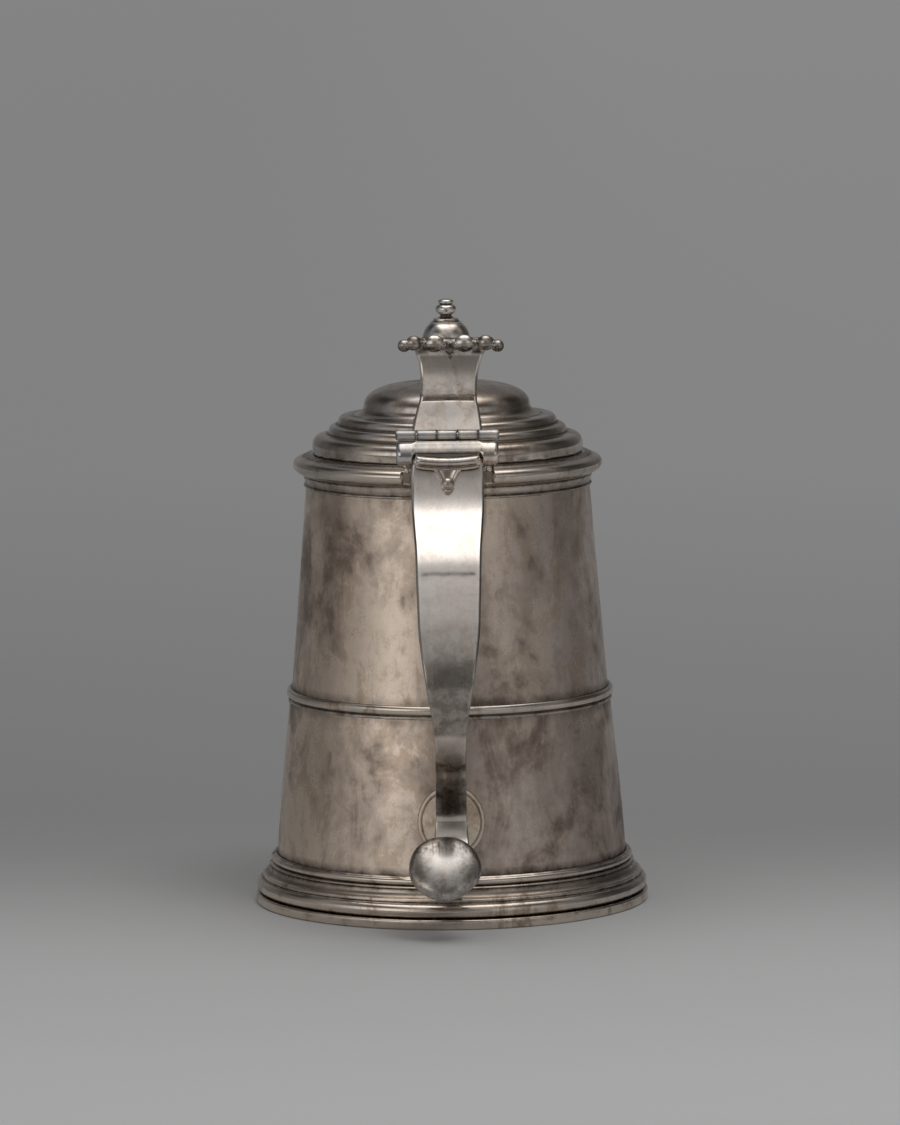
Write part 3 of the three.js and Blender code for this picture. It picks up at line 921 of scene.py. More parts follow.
def tarnish_group() -> bpy.types.NodeTree:
    """Clouds of tarnish over silver: a warm film in streaked clouds with a fringe where it thins
    out, brown stains inside it, a cooler bloom, fine specks, dark soiling in hollows and joints
    along with painted shade where its input asks for it, and bare silver on rubbed crests.

    Returns:
        The group, with the outputs Color, Dulling and Film Height.
    """
    tree, bench, given, out = new_group(
        "silver_tarnish",
        {
            "Vector": None,
            "Clean": (0.8, 0.76, 0.7, 1.0),
            "Film": (0.55, 0.5, 0.44, 1.0),
            "Stain": (0.24, 0.18, 0.15, 1.0),
            "Bloom": (0.5, 0.52, 0.56, 1.0),
            "Soot And Shade": (0.07, 0.05, 0.04, 1.0),
            "Fringe": (0.6, 0.42, 0.28, 1.0),
            "Amount": 0.5,
            "Stain Amount": 0.4,
            "Cloud Scale": 30.0,
            "Relief": 0.0,
            "Grime And Shade": 0.0,
            "Lean": 0.0,
        },
        {"Color": "NodeSocketColor", "Dulling": "NodeSocketFloat", "Film Height": "NodeSocketFloat"},
    )
    g = given.outputs
    scale = g["Cloud Scale"]
    upright = bench.stretched(g["Vector"], (1.0, 1.0, 0.7))
    slanted = bench.node(
        "ShaderNodeMapping", Vector=g["Vector"], Rotation=(0.5, 0.6, 0.3), Scale=(1.3, 1.1, 0.7)
    ).outputs[0]
    rubbed = bench.stretched(g["Vector"], (7.0, 7.0, 0.9))
    clouds = bench.noise(upright, scale, 6.0, 0.62, 0.3)
    wipes = bench.noise(slanted, bench.calc("MULTIPLY", scale, 2.3), 6.0, 0.66, 0.8)
    streaks = bench.noise(rubbed, bench.calc("MULTIPLY", scale, 1.6), 4.0, 0.6, 0.4)
    mottle = bench.noise(g["Vector"], bench.calc("MULTIPLY", scale, 7.0), 4.0, 0.7, 0.2)
    specks = bench.noise(g["Vector"], bench.calc("MULTIPLY", scale, 30.0), 2.0, 0.6)
    tint = bench.noise(upright, bench.calc("MULTIPLY", scale, 0.62), 4.0, 0.6, 0.3)
    # The film sets in where a mix of four noises passes a level, goes from crests, fills hollows
    mixed = bench.calc("MULTIPLY_ADD", clouds, 0.37, bench.calc("MULTIPLY", wipes, 0.27))
    mixed = bench.calc("MULTIPLY_ADD", streaks, 0.12, mixed)
    mixed = bench.calc("MULTIPLY_ADD", mottle, 0.24, mixed)
    film = bench.calc("MULTIPLY", bench.span(mixed, 0.42, 0.59), g["Amount"])
    crest = bench.span(g["Relief"], 0.08, 0.7)
    hollow = bench.span(bench.calc("MULTIPLY", g["Relief"], -1.0), 0.08, 0.8)
    film = bench.calc("SUBTRACT", film, bench.calc("MULTIPLY", crest, 0.6))
    film = bench.calc("MAXIMUM", film, bench.calc("MULTIPLY", hollow, 0.9))
    film = bench.calc("MINIMUM", bench.calc("MAXIMUM", film, 0.0), 1.0)
    stain = bench.span(bench.calc("MULTIPLY_ADD", mottle, 0.4, wipes), 0.68, 0.92)
    stain = bench.calc("MULTIPLY", stain, bench.span(clouds, 0.4, 0.56))
    stain = bench.calc("MULTIPLY", stain, g["Stain Amount"])
    # dark soiling in joints and hollows, together with the painted shade that the dark mask brings in
    soot_and_shade = bench.calc("MULTIPLY_ADD", bench.span(mottle, 0.4, 0.62), 0.35, 0.65)
    soot_and_shade = bench.calc("MULTIPLY", soot_and_shade, g["Grime And Shade"])
    soot_and_shade = bench.calc("MAXIMUM", soot_and_shade, bench.calc("MULTIPLY", hollow, 0.6))
    # The colours, one over the other
    side = bench.node("ShaderNodeSeparateXYZ", Vector=g["Vector"]).outputs["X"]
    tint = bench.calc("MULTIPLY_ADD", side, g["Lean"], tint)
    clean = bench.blend(bench.span(tint, 0.42, 0.6, 0.0, 0.85), g["Clean"], g["Bloom"])
    colour = bench.blend(film, clean, g["Film"])
    thinning = bench.span(film, 0.3, 0.55, 1.0, 0.0)
    fringe = bench.calc("MULTIPLY", bench.span(film, 0.08, 0.3), thinning)
    fringe = bench.calc("MULTIPLY", fringe, bench.span(wipes, 0.46, 0.62, 0.0, 0.55))
    colour = bench.blend(fringe, colour, g["Fringe"])
    colour = bench.blend(bench.span(specks, 0.6, 0.78, 0.0, 0.2), colour, g["Stain"])
    colour = bench.blend(stain, colour, g["Stain"])
    colour = bench.blend(soot_and_shade, colour, g["Soot And Shade"])
    dulling = bench.calc("MULTIPLY_ADD", film, 0.5, bench.calc("MULTIPLY", soot_and_shade, 0.5))
    dulling = bench.calc("MULTIPLY_ADD", stain, 0.4, dulling)
    bench.put(out.inputs["Color"], colour)
    bench.put(out.inputs["Dulling"], dulling)
    bench.put(out.inputs["Film Height"], bench.calc("MULTIPLY", specks, film))
    return tree


def scratch_group() -> bpy.types.NodeTree:
    """Fine scratches: thin lines where a stretched noise passes its middle value, in two weights,
    with a few that run across the others, over a soft brushed grain.

    Returns:
        The group, with the outputs Height, Lines and Grain.
    """
    tree, bench, given, out = new_group(
        "silver_scratches",
        {"Vector": None, "Round Vector": None, "Line Width": 0.012},
        {"Height": "NodeSocketFloat", "Lines": "NodeSocketFloat", "Grain": "NodeSocketFloat"},
    )
    g = given.outputs
    brushed = bench.noise(g["Vector"], 1.0, 3.0, 0.6)
    along = bench.noise(g["Vector"], 0.22, 2.0, 0.5, 0.3)
    loose = bench.noise(g["Round Vector"], 70.0, 1.5, 0.45, 1.6)
    patches = bench.span(bench.noise(g["Round Vector"], 42.0, 2.0), 0.44, 0.6)
    loose_width, fine_share, brushed_share = 0.004, 0.6, 0.35

    def lines(value: object, width: object) -> bpy.types.NodeSocket:
        """1 on the thin contour where value is 0.5, fading to 0 over width."""
        gap = bench.calc("DIVIDE", bench.calc("ABSOLUTE", bench.calc("SUBTRACT", value, 0.5)), width)
        return bench.calc("MAXIMUM", bench.calc("SUBTRACT", 1.0, gap), 0.0)

    fine = bench.calc("MULTIPLY", lines(along, g["Line Width"]), fine_share)
    wide = bench.calc("MULTIPLY", lines(loose, loose_width), patches)
    both = bench.calc("MAXIMUM", fine, wide)
    soft = bench.calc("MULTIPLY", brushed, brushed_share)
    bench.put(out.inputs["Height"], bench.calc("SUBTRACT", soft, both))
    bench.put(out.inputs["Lines"], both)
    bench.put(out.inputs["Grain"], brushed)
    return tree


@dataclass
class FinishShop:
    """The node groups that all the finishes share."""

    tarnish: bpy.types.NodeTree = field(default_factory=tarnish_group)
    scratches: bpy.types.NodeTree = field(default_factory=scratch_group)


@dataclass(frozen=True)
class AgedSilver:
    """One finish of aged silver: its colours, how tarnished, dull and scratched it is."""

    name: str
    clean: tuple[float, float, float] = (0.78, 0.745, 0.7)
    film: tuple[float, float, float] = (0.5, 0.445, 0.39)
    stain: tuple[float, float, float] = (0.18, 0.125, 0.1)
    bloom: tuple[float, float, float] = (0.62, 0.62, 0.64)
    # the dark colour for soiling, also used for painted shade
    soot_and_shade: tuple[float, float, float] = (0.06, 0.045, 0.036)
    fringe: tuple[float, float, float] = (0.6, 0.43, 0.29)
    amount: float = 0.6
    stains: float = 0.4
    cloud_scale: float = 30.0
    shine: float = 0.26  # the roughness of clean silver
    dulled: float = 0.3  # how much rougher tarnish makes it
    lean: float = 0.0  # how much the bloom gains to the right, per metre
    grain: Grain = Grain.ROUND
    scratch_depth: float = 0.000006
    line_width: float = 0.012
    line_shine: float = 0.25  # how much clean silver shows in the scratches
    grain_rough: float = 0.1  # how far the brushed grain varies the roughness
    roughest: float = 0.85
    film_height: float = 0.5  # how much the film adds to the scratches' height

    def material(self, shop: FinishShop) -> bpy.types.Material:
        """The finish as a material.

        Args:
            shop: the shared node groups.

        Returns:
            A metal whose colour, roughness and bump come from the groups.
        """
        made = bpy.data.materials.new(self.name)
        made.use_nodes = True
        made.node_tree.nodes.clear()
        bench = NodeBench(made.node_tree)
        place = bench.node("ShaderNodeTexCoord").outputs["Object"]
        relief = bench.node("ShaderNodeAttribute", attribute_name="relief").outputs["Fac"]
        grime_and_shade = bench.node("ShaderNodeAttribute", attribute_name="grime_and_shade").outputs["Fac"]
        centred = bench.node("ShaderNodeMapping", Vector=place, Location=(0.0, -AXIS_Y, 0.0))
        centred = centred.outputs[0]
        tarnish = bench.node("ShaderNodeGroup", node_tree=shop.tarnish)
        for key, colour in (
            ("Clean", self.clean), ("Film", self.film), ("Stain", self.stain),
            ("Bloom", self.bloom), ("Soot And Shade", self.soot_and_shade), ("Fringe", self.fringe),
        ):
            tarnish.inputs[key].default_value = (*colour, 1.0)
        for key, value in (
            ("Amount", self.amount), ("Stain Amount", self.stains), ("Lean", self.lean),
            ("Cloud Scale", self.cloud_scale), ("Relief", relief), ("Grime And Shade", grime_and_shade),
            ("Vector", centred),
        ):
            bench.put(tarnish.inputs[key], value)
        scratch = bench.node("ShaderNodeGroup", node_tree=shop.scratches)
        bench.put(scratch.inputs["Vector"], bench.stretched(centred, self.grain.value))
        bench.put(scratch.inputs["Round Vector"], centred)
        bench.put(scratch.inputs["Line Width"], self.line_width)
        rough = bench.calc("MULTIPLY_ADD", tarnish.outputs["Dulling"], self.dulled, self.shine)
        rough = bench.calc("MULTIPLY_ADD", scratch.outputs["Grain"], self.grain_rough, rough)
        rough = bench.calc("SUBTRACT", rough, self.grain_rough / 2)
        rough = bench.calc("MINIMUM", rough, self.roughest)
        film, scratches = tarnish.outputs["Film Height"], scratch.outputs["Height"]
        height = bench.calc("MULTIPLY_ADD", film, self.film_height, scratches)
        bump = bench.node("ShaderNodeBump", Strength=1.0, Distance=self.scratch_depth, Height=height)
        bright = bench.calc("MULTIPLY", scratch.outputs["Lines"], self.line_shine)
        colour = bench.blend(bright, tarnish.outputs["Color"], (*self.clean, 1.0))
        shader = bench.node(
            "ShaderNodeBsdfPrincipled", Base_Color=colour, Metallic=1.0, Roughness=rough,
            Normal=bump.outputs[0],
        )
        bench.node("ShaderNodeOutputMaterial", Surface=shader.outputs[0])
        return made


@dataclass
class Bench:
    """Puts finished surfaces into the scene and ties them to the frame."""

    shop: FinishShop
    materials: dict[str, bpy.types.Material] = field(default_factory=dict)

    def dressed(
        self, node: str, surface: Surface, finish: AgedSilver, slot: Slot, body: Body,
        voxel: float = 0.0, dirt_and_painted_shade: DirtAndPaintedShade | None = None,
    ) -> bpy.types.Object:
        """One piece of the tankard in place of its node in the frame.

        Args:
            node: the node that the piece stands for.
            surface: its shape.
            finish: its finish.
            slot: the record's material slot that the piece stands for; not used.
            body: the body that it rides on.
            voxel: where over 0, the size in mm at which its overlapping forms are cast into one.
            dirt_and_painted_shade: gives the dark mask of a casting, soiling and painted shade, from
                its corners.

        Returns:
            The piece's object.
        """
        name = f"{node}_silverwork"
        piece = bpy.data.objects.new(name, surface.mesh(name))
        bpy.context.scene.collection.objects.link(piece)
        if voxel > 0:
            cast_as_one(piece, voxel * MM, dirt_and_painted_shade)
        if finish.name not in self.materials:
            self.materials[finish.name] = finish.material(self.shop)
        piece.data.materials.append(self.materials[finish.name])
        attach(piece, body.value)
        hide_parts(node)
        LOG.info("%s: %d faces, rides on %s", name, len(piece.data.polygons), body.value)
        return piece


def cast_as_one(piece: bpy.types.Object, voxel: float, dirt_and_painted_shade: DirtAndPaintedShade | None = None) -> None:
    """Makes the overlapping forms of a piece one skin, as a casting, and finds its two masks.

    The skin is rebuilt on a grid and smoothed. Relief is then how far each corner stands out of
    the average of its neighbours, taken CAST_ROUNDS times over, along its normal.

    Args:
        piece: the object whose mesh is replaced.
        voxel: the grid's size in metres.
        dirt_and_painted_shade: gives the dark mask, soiling and painted shade, from the corners in mm
            from the barrel's axis.
    """
    remesh = piece.modifiers.new("cast", "REMESH")
    remesh.mode = "VOXEL"
    remesh.voxel_size = voxel
    smooth = piece.modifiers.new("file", "SMOOTH")
    smooth.factor = 0.5
    smooth.iterations = 3
    graph = bpy.context.evaluated_depsgraph_get()
    mesh = bpy.data.meshes.new_from_object(piece.evaluated_get(graph))
    piece.modifiers.clear()
    mesh.name = piece.name
    for key in ("relief", "grime_and_shade"):
        if key in mesh.attributes:
            mesh.attributes.remove(mesh.attributes[key])
    piece.data = mesh
    count = len(mesh.vertices)
    place = np.empty(count * 3, np.float32)
    mesh.vertices.foreach_get("co", place)
    place = place.reshape(-1, 3).astype(float)
    normals = np.empty(count * 3, np.float32)
    mesh.vertex_normals.foreach_get("vector", normals)
    edges = np.empty(len(mesh.edges) * 2, np.int32)
    mesh.edges.foreach_get("vertices", edges)
    a, b = edges.reshape(-1, 2).T
    degree = np.bincount(np.concatenate([a, b]), minlength=count)[:, None]
    average = place
    for _ in range(CAST_ROUNDS):
        sums = [
            np.bincount(a, average[b, i], count) + np.bincount(b, average[a, i], count)
            for i in range(3)
        ]
        average = 0.5 * average + 0.5 * np.stack(sums, 1) / degree
    stand = np.einsum("ij,ij->i", place - average, normals.reshape(-1, 3).astype(float))
    relief = (stand / (0.5 * voxel)).clip(-1, 1)
    corners = place / MM - np.array([0.0, AXIS_Y / MM, 0.0])
    put_masks(mesh, relief, dirt_and_painted_shade(corners) if dirt_and_painted_shade else np.zeros(count))


BARREL_SILVER = AgedSilver(
    "barrel_silver", clean=(0.83, 0.68, 0.555), film=(0.39, 0.31, 0.255),
    bloom=(0.64, 0.55, 0.505), amount=0.8, stains=0.7, cloud_scale=20.0, shine=0.24, lean=1.6,
    grain=Grain.UPRIGHT,
)
DISC_SILVER = AgedSilver(
    "disc_silver", clean=(0.97, 0.85, 0.7), film=(0.72, 0.55, 0.41), bloom=(0.88, 0.79, 0.7),
    amount=0.7, stains=0.3, cloud_scale=110.0, shine=0.52, grain=Grain.UPRIGHT,
)
MOULDING_SILVER = AgedSilver(
    "moulding_silver", clean=(0.74, 0.64, 0.54), film=(0.4, 0.32, 0.26), bloom=(0.6, 0.54, 0.5),
    amount=0.85, stains=0.6, cloud_scale=40.0, shine=0.17,
)
LID_SILVER = AgedSilver(
    "lid_silver", clean=(0.74, 0.63, 0.52), film=(0.38, 0.295, 0.23), bloom=(0.55, 0.54, 0.54),
    amount=0.85, stains=0.5, cloud_scale=26.0, shine=0.14,
)
FINIAL_SILVER = AgedSilver(
    "finial_silver", clean=(0.96, 0.88, 0.79), film=(0.68, 0.58, 0.49), amount=0.5, stains=0.3,
    cloud_scale=90.0, shine=0.17,
)
STRAP_SILVER = AgedSilver(
    "strap_silver", clean=(0.87, 0.78, 0.69), film=(0.47, 0.38, 0.31), bloom=(0.72, 0.67, 0.63),
    fringe=(0.82, 0.73, 0.64), amount=0.42, stains=0.25, cloud_scale=32.0, shine=0.13,
    grain=Grain.ALONG_HANDLE,
)
CAST_SILVER = AgedSilver(
    "cast_silver", clean=(0.97, 0.87, 0.77), film=(0.62, 0.5, 0.4), bloom=(0.84, 0.79, 0.75),
    fringe=(0.82, 0.69, 0.57), amount=0.4, stains=0.4, cloud_scale=60.0, shine=0.19,
    grain=Grain.ALONG_HANDLE,
)
HINGE_SILVER = AgedSilver(
    "hinge_silver", clean=(0.88, 0.79, 0.69), film=(0.52, 0.43, 0.35), fringe=(0.76, 0.66, 0.55),
    amount=0.5, stains=0.4, cloud_scale=90.0, shine=0.16, grain=Grain.ACROSS,
)
# A brighter, cleaner copy of the hinge silver: the extra brightness is painted light on the knuckles
KNUCKLE_SILVER = AgedSilver(
    "knuckle_silver", clean=(0.95, 0.87, 0.78), film=(0.6, 0.5, 0.42), fringe=(0.84, 0.74, 0.64),
    amount=0.35, stains=0.4, cloud_scale=90.0, shine=0.36, grain=Grain.ACROSS,
)


# The tankard's sub-assemblies


@dataclass(frozen=True)
class Barrel:
    """The raised barrel with its bottom, and the mouldings round its middle and its rim."""

    wall: float = 1.1
    bottom: float = 2.6
    thickness: float = 1.4
    corner: float = 1.5
    rim: float = 145.3
    foot_top: float = 16.8
    band_bottom: float = 68.5
    band_top: float = 73.1
    rim_moulding: float = 141.4
    rim_radius: float = 48.9
    lower: tuple[tuple[float, float], ...] = ((60.4, 2.6), (59.3, 16.8), (57.4, 40), (54.45, 68.4))
    upper: tuple[tuple[float, float], ...] = (
        (53.65, 73.2), (51.8, 95), (49.8, 120), (47.8, 145.3),
    )

    def radius(self, height: Array | float) -> Array:
        """The wall's outside radius at a height, straight between the stations."""
        stations = np.array(self.lower + self.upper)
        return np.interp(height, stations[:, 1], stations[:, 0])

    def wall_profile(self) -> Profile:
        """The wall and bottom, from the middle of the underside over the rim to the inside.

        Returns:
            The profile.
        """
        first, rim = self.lower[0], self.upper[-1]
        floor = self.bottom + self.thickness
        inner = float(self.radius(floor)) - self.wall
        run = Profile(0, self.bottom).line(first[0] - self.corner, self.bottom)
        run.curve(first[0], self.bottom, first[0] - 0.1, self.bottom + self.corner)
        run.through(self.lower[1:]).line(*self.upper[0]).through(self.upper[1:])
        run.line(rim[0] - self.wall, self.rim)
        inside = [(r - self.wall, z) for r, z in (self.upper[:-1])[::-1] + self.lower[:0:-1]]
        run.through(inside[:3]).line(*inside[3]).through(inside[4:])
        run.line(inner, floor + self.corner)
        run.curve(inner, floor, inner - self.corner, floor)
        return run.line(0, floor)

    def band_profile(self) -> Profile:
        """A thin fillet with a half-round wire on it.

        Returns:
            The profile.
        """
        low, high = self.band_bottom, self.band_top
        foot, head = (float(self.radius(z)) + SEAM for z in (low, high))
        run = Profile(foot, low).line(54.95, low).line(54.95, low + 0.9).line(54.5, low + 1.3)
        run.bead(54.4, low + 1.45, high - 0.05, 1.05)
        return run.line(head, high).close()

    def rim_profile(self) -> Profile:
        """A reed, a shallow hollow and a plain collar, under the lid.

        Returns:
            The profile.
        """
        low = self.rim_moulding
        foot, head = (float(self.radius(z)) + SEAM for z in (low, self.rim))
        run = Profile(foot, low).line(48.5, low).bead(48.52, low + 0.1, low + 0.95, 0.3)
        run.curve(48.3, low + 2.2, self.rim_radius, self.rim - 0.5)
        run.line(self.rim_radius, self.rim)
        return run.line(head, self.rim).close()

    def build(self, bench: Bench) -> None:
        """Makes and dresses the three pieces.

        Args:
            bench: where they are dressed.
        """
        edges = (self.foot_top, self.band_bottom, self.band_top, self.rim_moulding)
        seams = [(self.radius(z), z) for z in edges]
        wall = Lathe(coarse=2.6).turned(self.wall_profile(), seams)
        bench.dressed("barrel", wall, BARREL_SILVER, Slot.BARREL, Body.VESSEL)
        low, high = self.band_bottom, self.band_top
        solder = [Solder(54.9, low, 60, 0.35, 5), Solder(54.0, high, 26, 0.25, 6)]
        joints = [(54.6, low), (54.9, low + 1.2), (53.9, high)]
        band = Lathe(steps=360).turned(self.band_profile(), joints, solder)
        bench.dressed("middle_band", band, MOULDING_SILVER, Slot.MOULDING, Body.VESSEL)
        low = self.rim_moulding
        solder = [Solder(48.5, low, 40, 0.3, 8)]
        joints = [(48.3, low), (48.5, low + 1.05), (48.9, self.rim)]
        rim = Lathe(steps=300).turned(self.rim_profile(), joints, solder)
        bench.dressed("rim_moulding", rim, MOULDING_SILVER, Slot.MOULDING, Body.VESSEL)


@dataclass(frozen=True)
class Foot:
    """The moulded foot: a rim wire, a torus and an ogee with reeds."""

    barrel: Barrel
    radius: float = 66.7
    bore: float = 61.0
    wire_top: float = 3.45
    torus_top: float = 8.75
    ogee_top: float = 16.8

    def wire_profile(self) -> Profile:
        """The plain ring that stands on the table.

        Returns:
            The profile.
        """
        run = Profile(self.bore, 0).line(self.radius - 0.4, 0).line(self.radius, 0.4)
        run.line(self.radius, self.wire_top - 0.7)
        run.curve(self.radius, self.wire_top - 0.1, self.radius - 0.9, self.wire_top)
        return run.line(self.bore, self.wire_top).close()

    def torus_profile(self) -> Profile:
        """The large half round with a small fillet over it.

        Returns:
            The profile.
        """
        low = self.wire_top + SEAM
        run = Profile(self.bore, low).line(64.5, low)
        run.bead(64.6, low + 0.15, self.torus_top - 0.5, 1.75)
        return run.line(64.6, self.torus_top).line(self.bore, self.torus_top).close()

    def ogee_profile(self) -> Profile:
        """A fillet, a hollow, a thin reed and a bead against the barrel.

        Returns:
            The profile.
        """
        low = self.torus_top + SEAM
        foot, head = (float(self.barrel.radius(z)) + SEAM for z in (low, self.ogee_top))
        run = Profile(foot, low).line(64.5, low).line(64.4, 9.8).line(63.7, 10.1)
        run.curve(62.2, 10.4, 61.9, 12.65).bead(61.5, 12.8, 13.6, 0.45)
        run.bead(60.5, 13.95, self.ogee_top - 0.5, 0.95)
        return run.line(60.1, self.ogee_top).line(head, self.ogee_top).close()

    def build(self, bench: Bench) -> None:
        """Makes and dresses the three rings.

        Args:
            bench: where they are dressed.
        """
        low, middle, high = self.wire_top, self.torus_top, self.ogee_top
        parts = (
            ("foot_rim_wire", self.wire_profile(), [(65.6, low)], [Solder(66.0, low, 30, 0.25, 21)]),
            ("foot_torus_moulding", self.torus_profile(), [(64.8, low), (64.4, middle)],
             [Solder(64.9, middle - 0.4, 34, 0.25, 22)]),
            ("foot_ogee_moulding", self.ogee_profile(),
             [(64.5, middle), (61.8, 12.7), (61.0, 13.8), (59.6, high)],
             [Solder(60.3, high - 0.2, 70, 0.4, 23), Solder(64.4, middle + 1.0, 20, 0.3, 24)]),
        )
        for node, profile, joints, solder in parts:
            ring = Lathe(steps=300).turned(profile, joints, solder)
            bench.dressed(node, ring, MOULDING_SILVER, Slot.MOULDING, Body.VESSEL)


@dataclass(frozen=True)
class Lid:
    """The stepped dome with its brim, bezel and finial."""

    rim: float = 145.3
    brim_top: float = 152.6
    brim_bore: float = 44.5
    notch_half: float = 14.9
    notch_floor: float = 49.2
    dome_top: float = 177.0
    finial_top: float = 204.5

    def dome_profile(self) -> Profile:
        """Three worn steps, a ledge and a low dome, hollow below, from the axis to the axis.

        Returns:
            The profile.
        """
        low = self.brim_top + SEAM
        run = Profile(0, 175.8).curve(11, 175.6, 20, 173.9).line(25.8, 171.2).line(27.1, 167.4)
        run.line(29.4, 164.5).line(34.9, 164.3).line(36, 161.4).line(39, 160.7).line(39.3, 158.3)
        run.line(44.5, 156.6).line(44.5, low).line(45.7, low).line(45.9, 155.4)
        run.curve(45.6, 158.8, 42.6, 159.0).curve(41.2, 159.1, 40.4, 159.4)
        run.curve(40.4, 162.1, 38.4, 162.3).curve(37.6, 162.3, 37.1, 162.6)
        run.curve(37.0, 165.2, 35.2, 165.5).line(32.4, 165.5).curve(28.5, 165.9, 28.2, 168.8)
        run.bow((27.9, 172.2), (24.5, 174.6), (18, 175.7))
        return run.curve(11, 176.9, 0, self.dome_top)

    def brim_profile(self) -> Profile:
        """The flange: a hollow underside, a rounded lip and a shallow slope up to the dome.

        Returns:
            The profile.
        """
        low = self.rim + SEAM
        run = Profile(self.brim_bore, low).line(49.0, low).line(50.6, 146.4)
        run.curve(52.4, 147.3, 52.45, 148.9).curve(52.4, 150.7, 50.4, 151.3)
        run.curve(49.3, 151.5, 48.6, 152.1).line(47.0, self.brim_top)
        return run.line(self.brim_bore, self.brim_top).close()

    def bezel_profile(self) -> Profile:
        """The ring that drops inside the barrel's rim."""
        run = Profile(44.7, 142.4).line(45.6, 142.4).line(45.9, self.rim)
        return run.line(44.7, self.rim).close()

    def finial_profile(self) -> Profile:
        """A spread foot, a waist, a bell, a neck, a ball and a button.

        Returns:
            The profile.
        """
        run = Profile(0, self.dome_top + SEAM).line(7.8, self.dome_top + SEAM).line(7.6, 178.1)
        run.curve(4.2, 178.9, 3.7, 183.5).curve(3.8, 188.2, 8.2, 189.6)
        run.curve(8.7, 190.2, 8.4, 191.0).line(8.0, 191.5).curve(7.4, 194.8, 5.3, 196.2)
        run.line(5.4, 196.6).line(4.35, 196.9).line(4.3, 197.8).curve(2.4, 197.9, 1.9, 198.7)
        run.bead(1.9, 199.2, 202.5, 1.65).line(2.2, 202.8).curve(2.8, 203.0, 2.6, 203.6)
        return run.curve(2.3, 204.4, 0, self.finial_top)

    def notched(self, polar: Array) -> Array:
        """The brim's points: round it everywhere but at the hinge, where it is cut straight.

        Outside the notch the angle runs evenly from the notch's edge, asin(half / r), round to its
        other edge. Inside it x runs evenly across and out is the lesser of the round and the
        notch's floor. The edge columns come twice, so that the notch has upright walls.

        Args:
            polar: radius, angle and height for each row and column.

        Returns:
            x, y and z for each row and column.
        """
        radius, height = polar[..., 0], polar[..., 2]
        columns = radius.shape[1]
        inside = columns // 6
        edge = np.arcsin(self.notch_half / radius[:, :1])
        t = np.linspace(0, 1, columns - inside)[None, :]
        angle = edge + t * (2 * np.pi - 2 * edge)
        r = radius[:, : columns - inside]
        round_x, round_out = r * np.sin(angle), r * np.cos(angle)
        across = np.linspace(-self.notch_half, self.notch_half, inside)[None, :]
        cut_x = np.broadcast_to(across, (len(radius), inside))
        cut_out = np.sqrt(radius[:, columns - inside :] ** 2 - cut_x**2)
        cut_out = np.minimum(cut_out, self.notch_floor)
        x = np.hstack([round_x, cut_x])
        out = np.hstack([round_out, cut_out])
        return placed(x, out, height)

    def build(self, bench: Bench) -> None:
        """Makes and dresses the four pieces.

        Args:
            bench: where they are dressed.
        """
        top = self.brim_top
        joints = [(45.7, top), (40.4, 159.3), (37.1, 162.6), (32.0, 165.5)]
        solder = [Solder(45.8, top + 0.2, 50, 0.3, 31)]
        lathe = Lathe(coarse=1.6, wear=0.3, steps=260)
        dome = lathe.turned(self.dome_profile(), joints, solder)
        bench.dressed("lid_dome", dome, LID_SILVER, Slot.LID, Body.LID)
        joints = [(47.0, top), (48.6, 152.0)]
        solder = [Solder(47.4, top - 0.1, 50, 0.3, 32)]
        brim = Lathe(steps=320).turned(self.brim_profile(), joints, solder, self.notched)
        bench.dressed("lid_brim", brim, MOULDING_SILVER, Slot.MOULDING, Body.LID)
        bezel = Lathe(steps=200).turned(self.bezel_profile(), [(45.9, self.rim)])
        bench.dressed("lid_bezel", bezel, MOULDING_SILVER, Slot.MOULDING, Body.LID)
        joints = [(7.9, 177), (4.5, 196.9), (1.9, 198.9), (1.8, 202.8)]
        lathe = Lathe(steps=96, work=None, wear=0.1, coarse=0.6)
        finial = lathe.turned(self.finial_profile(), joints)
        bench.dressed("finial", finial, FINIAL_SILVER, Slot.FINIAL, Body.LID)


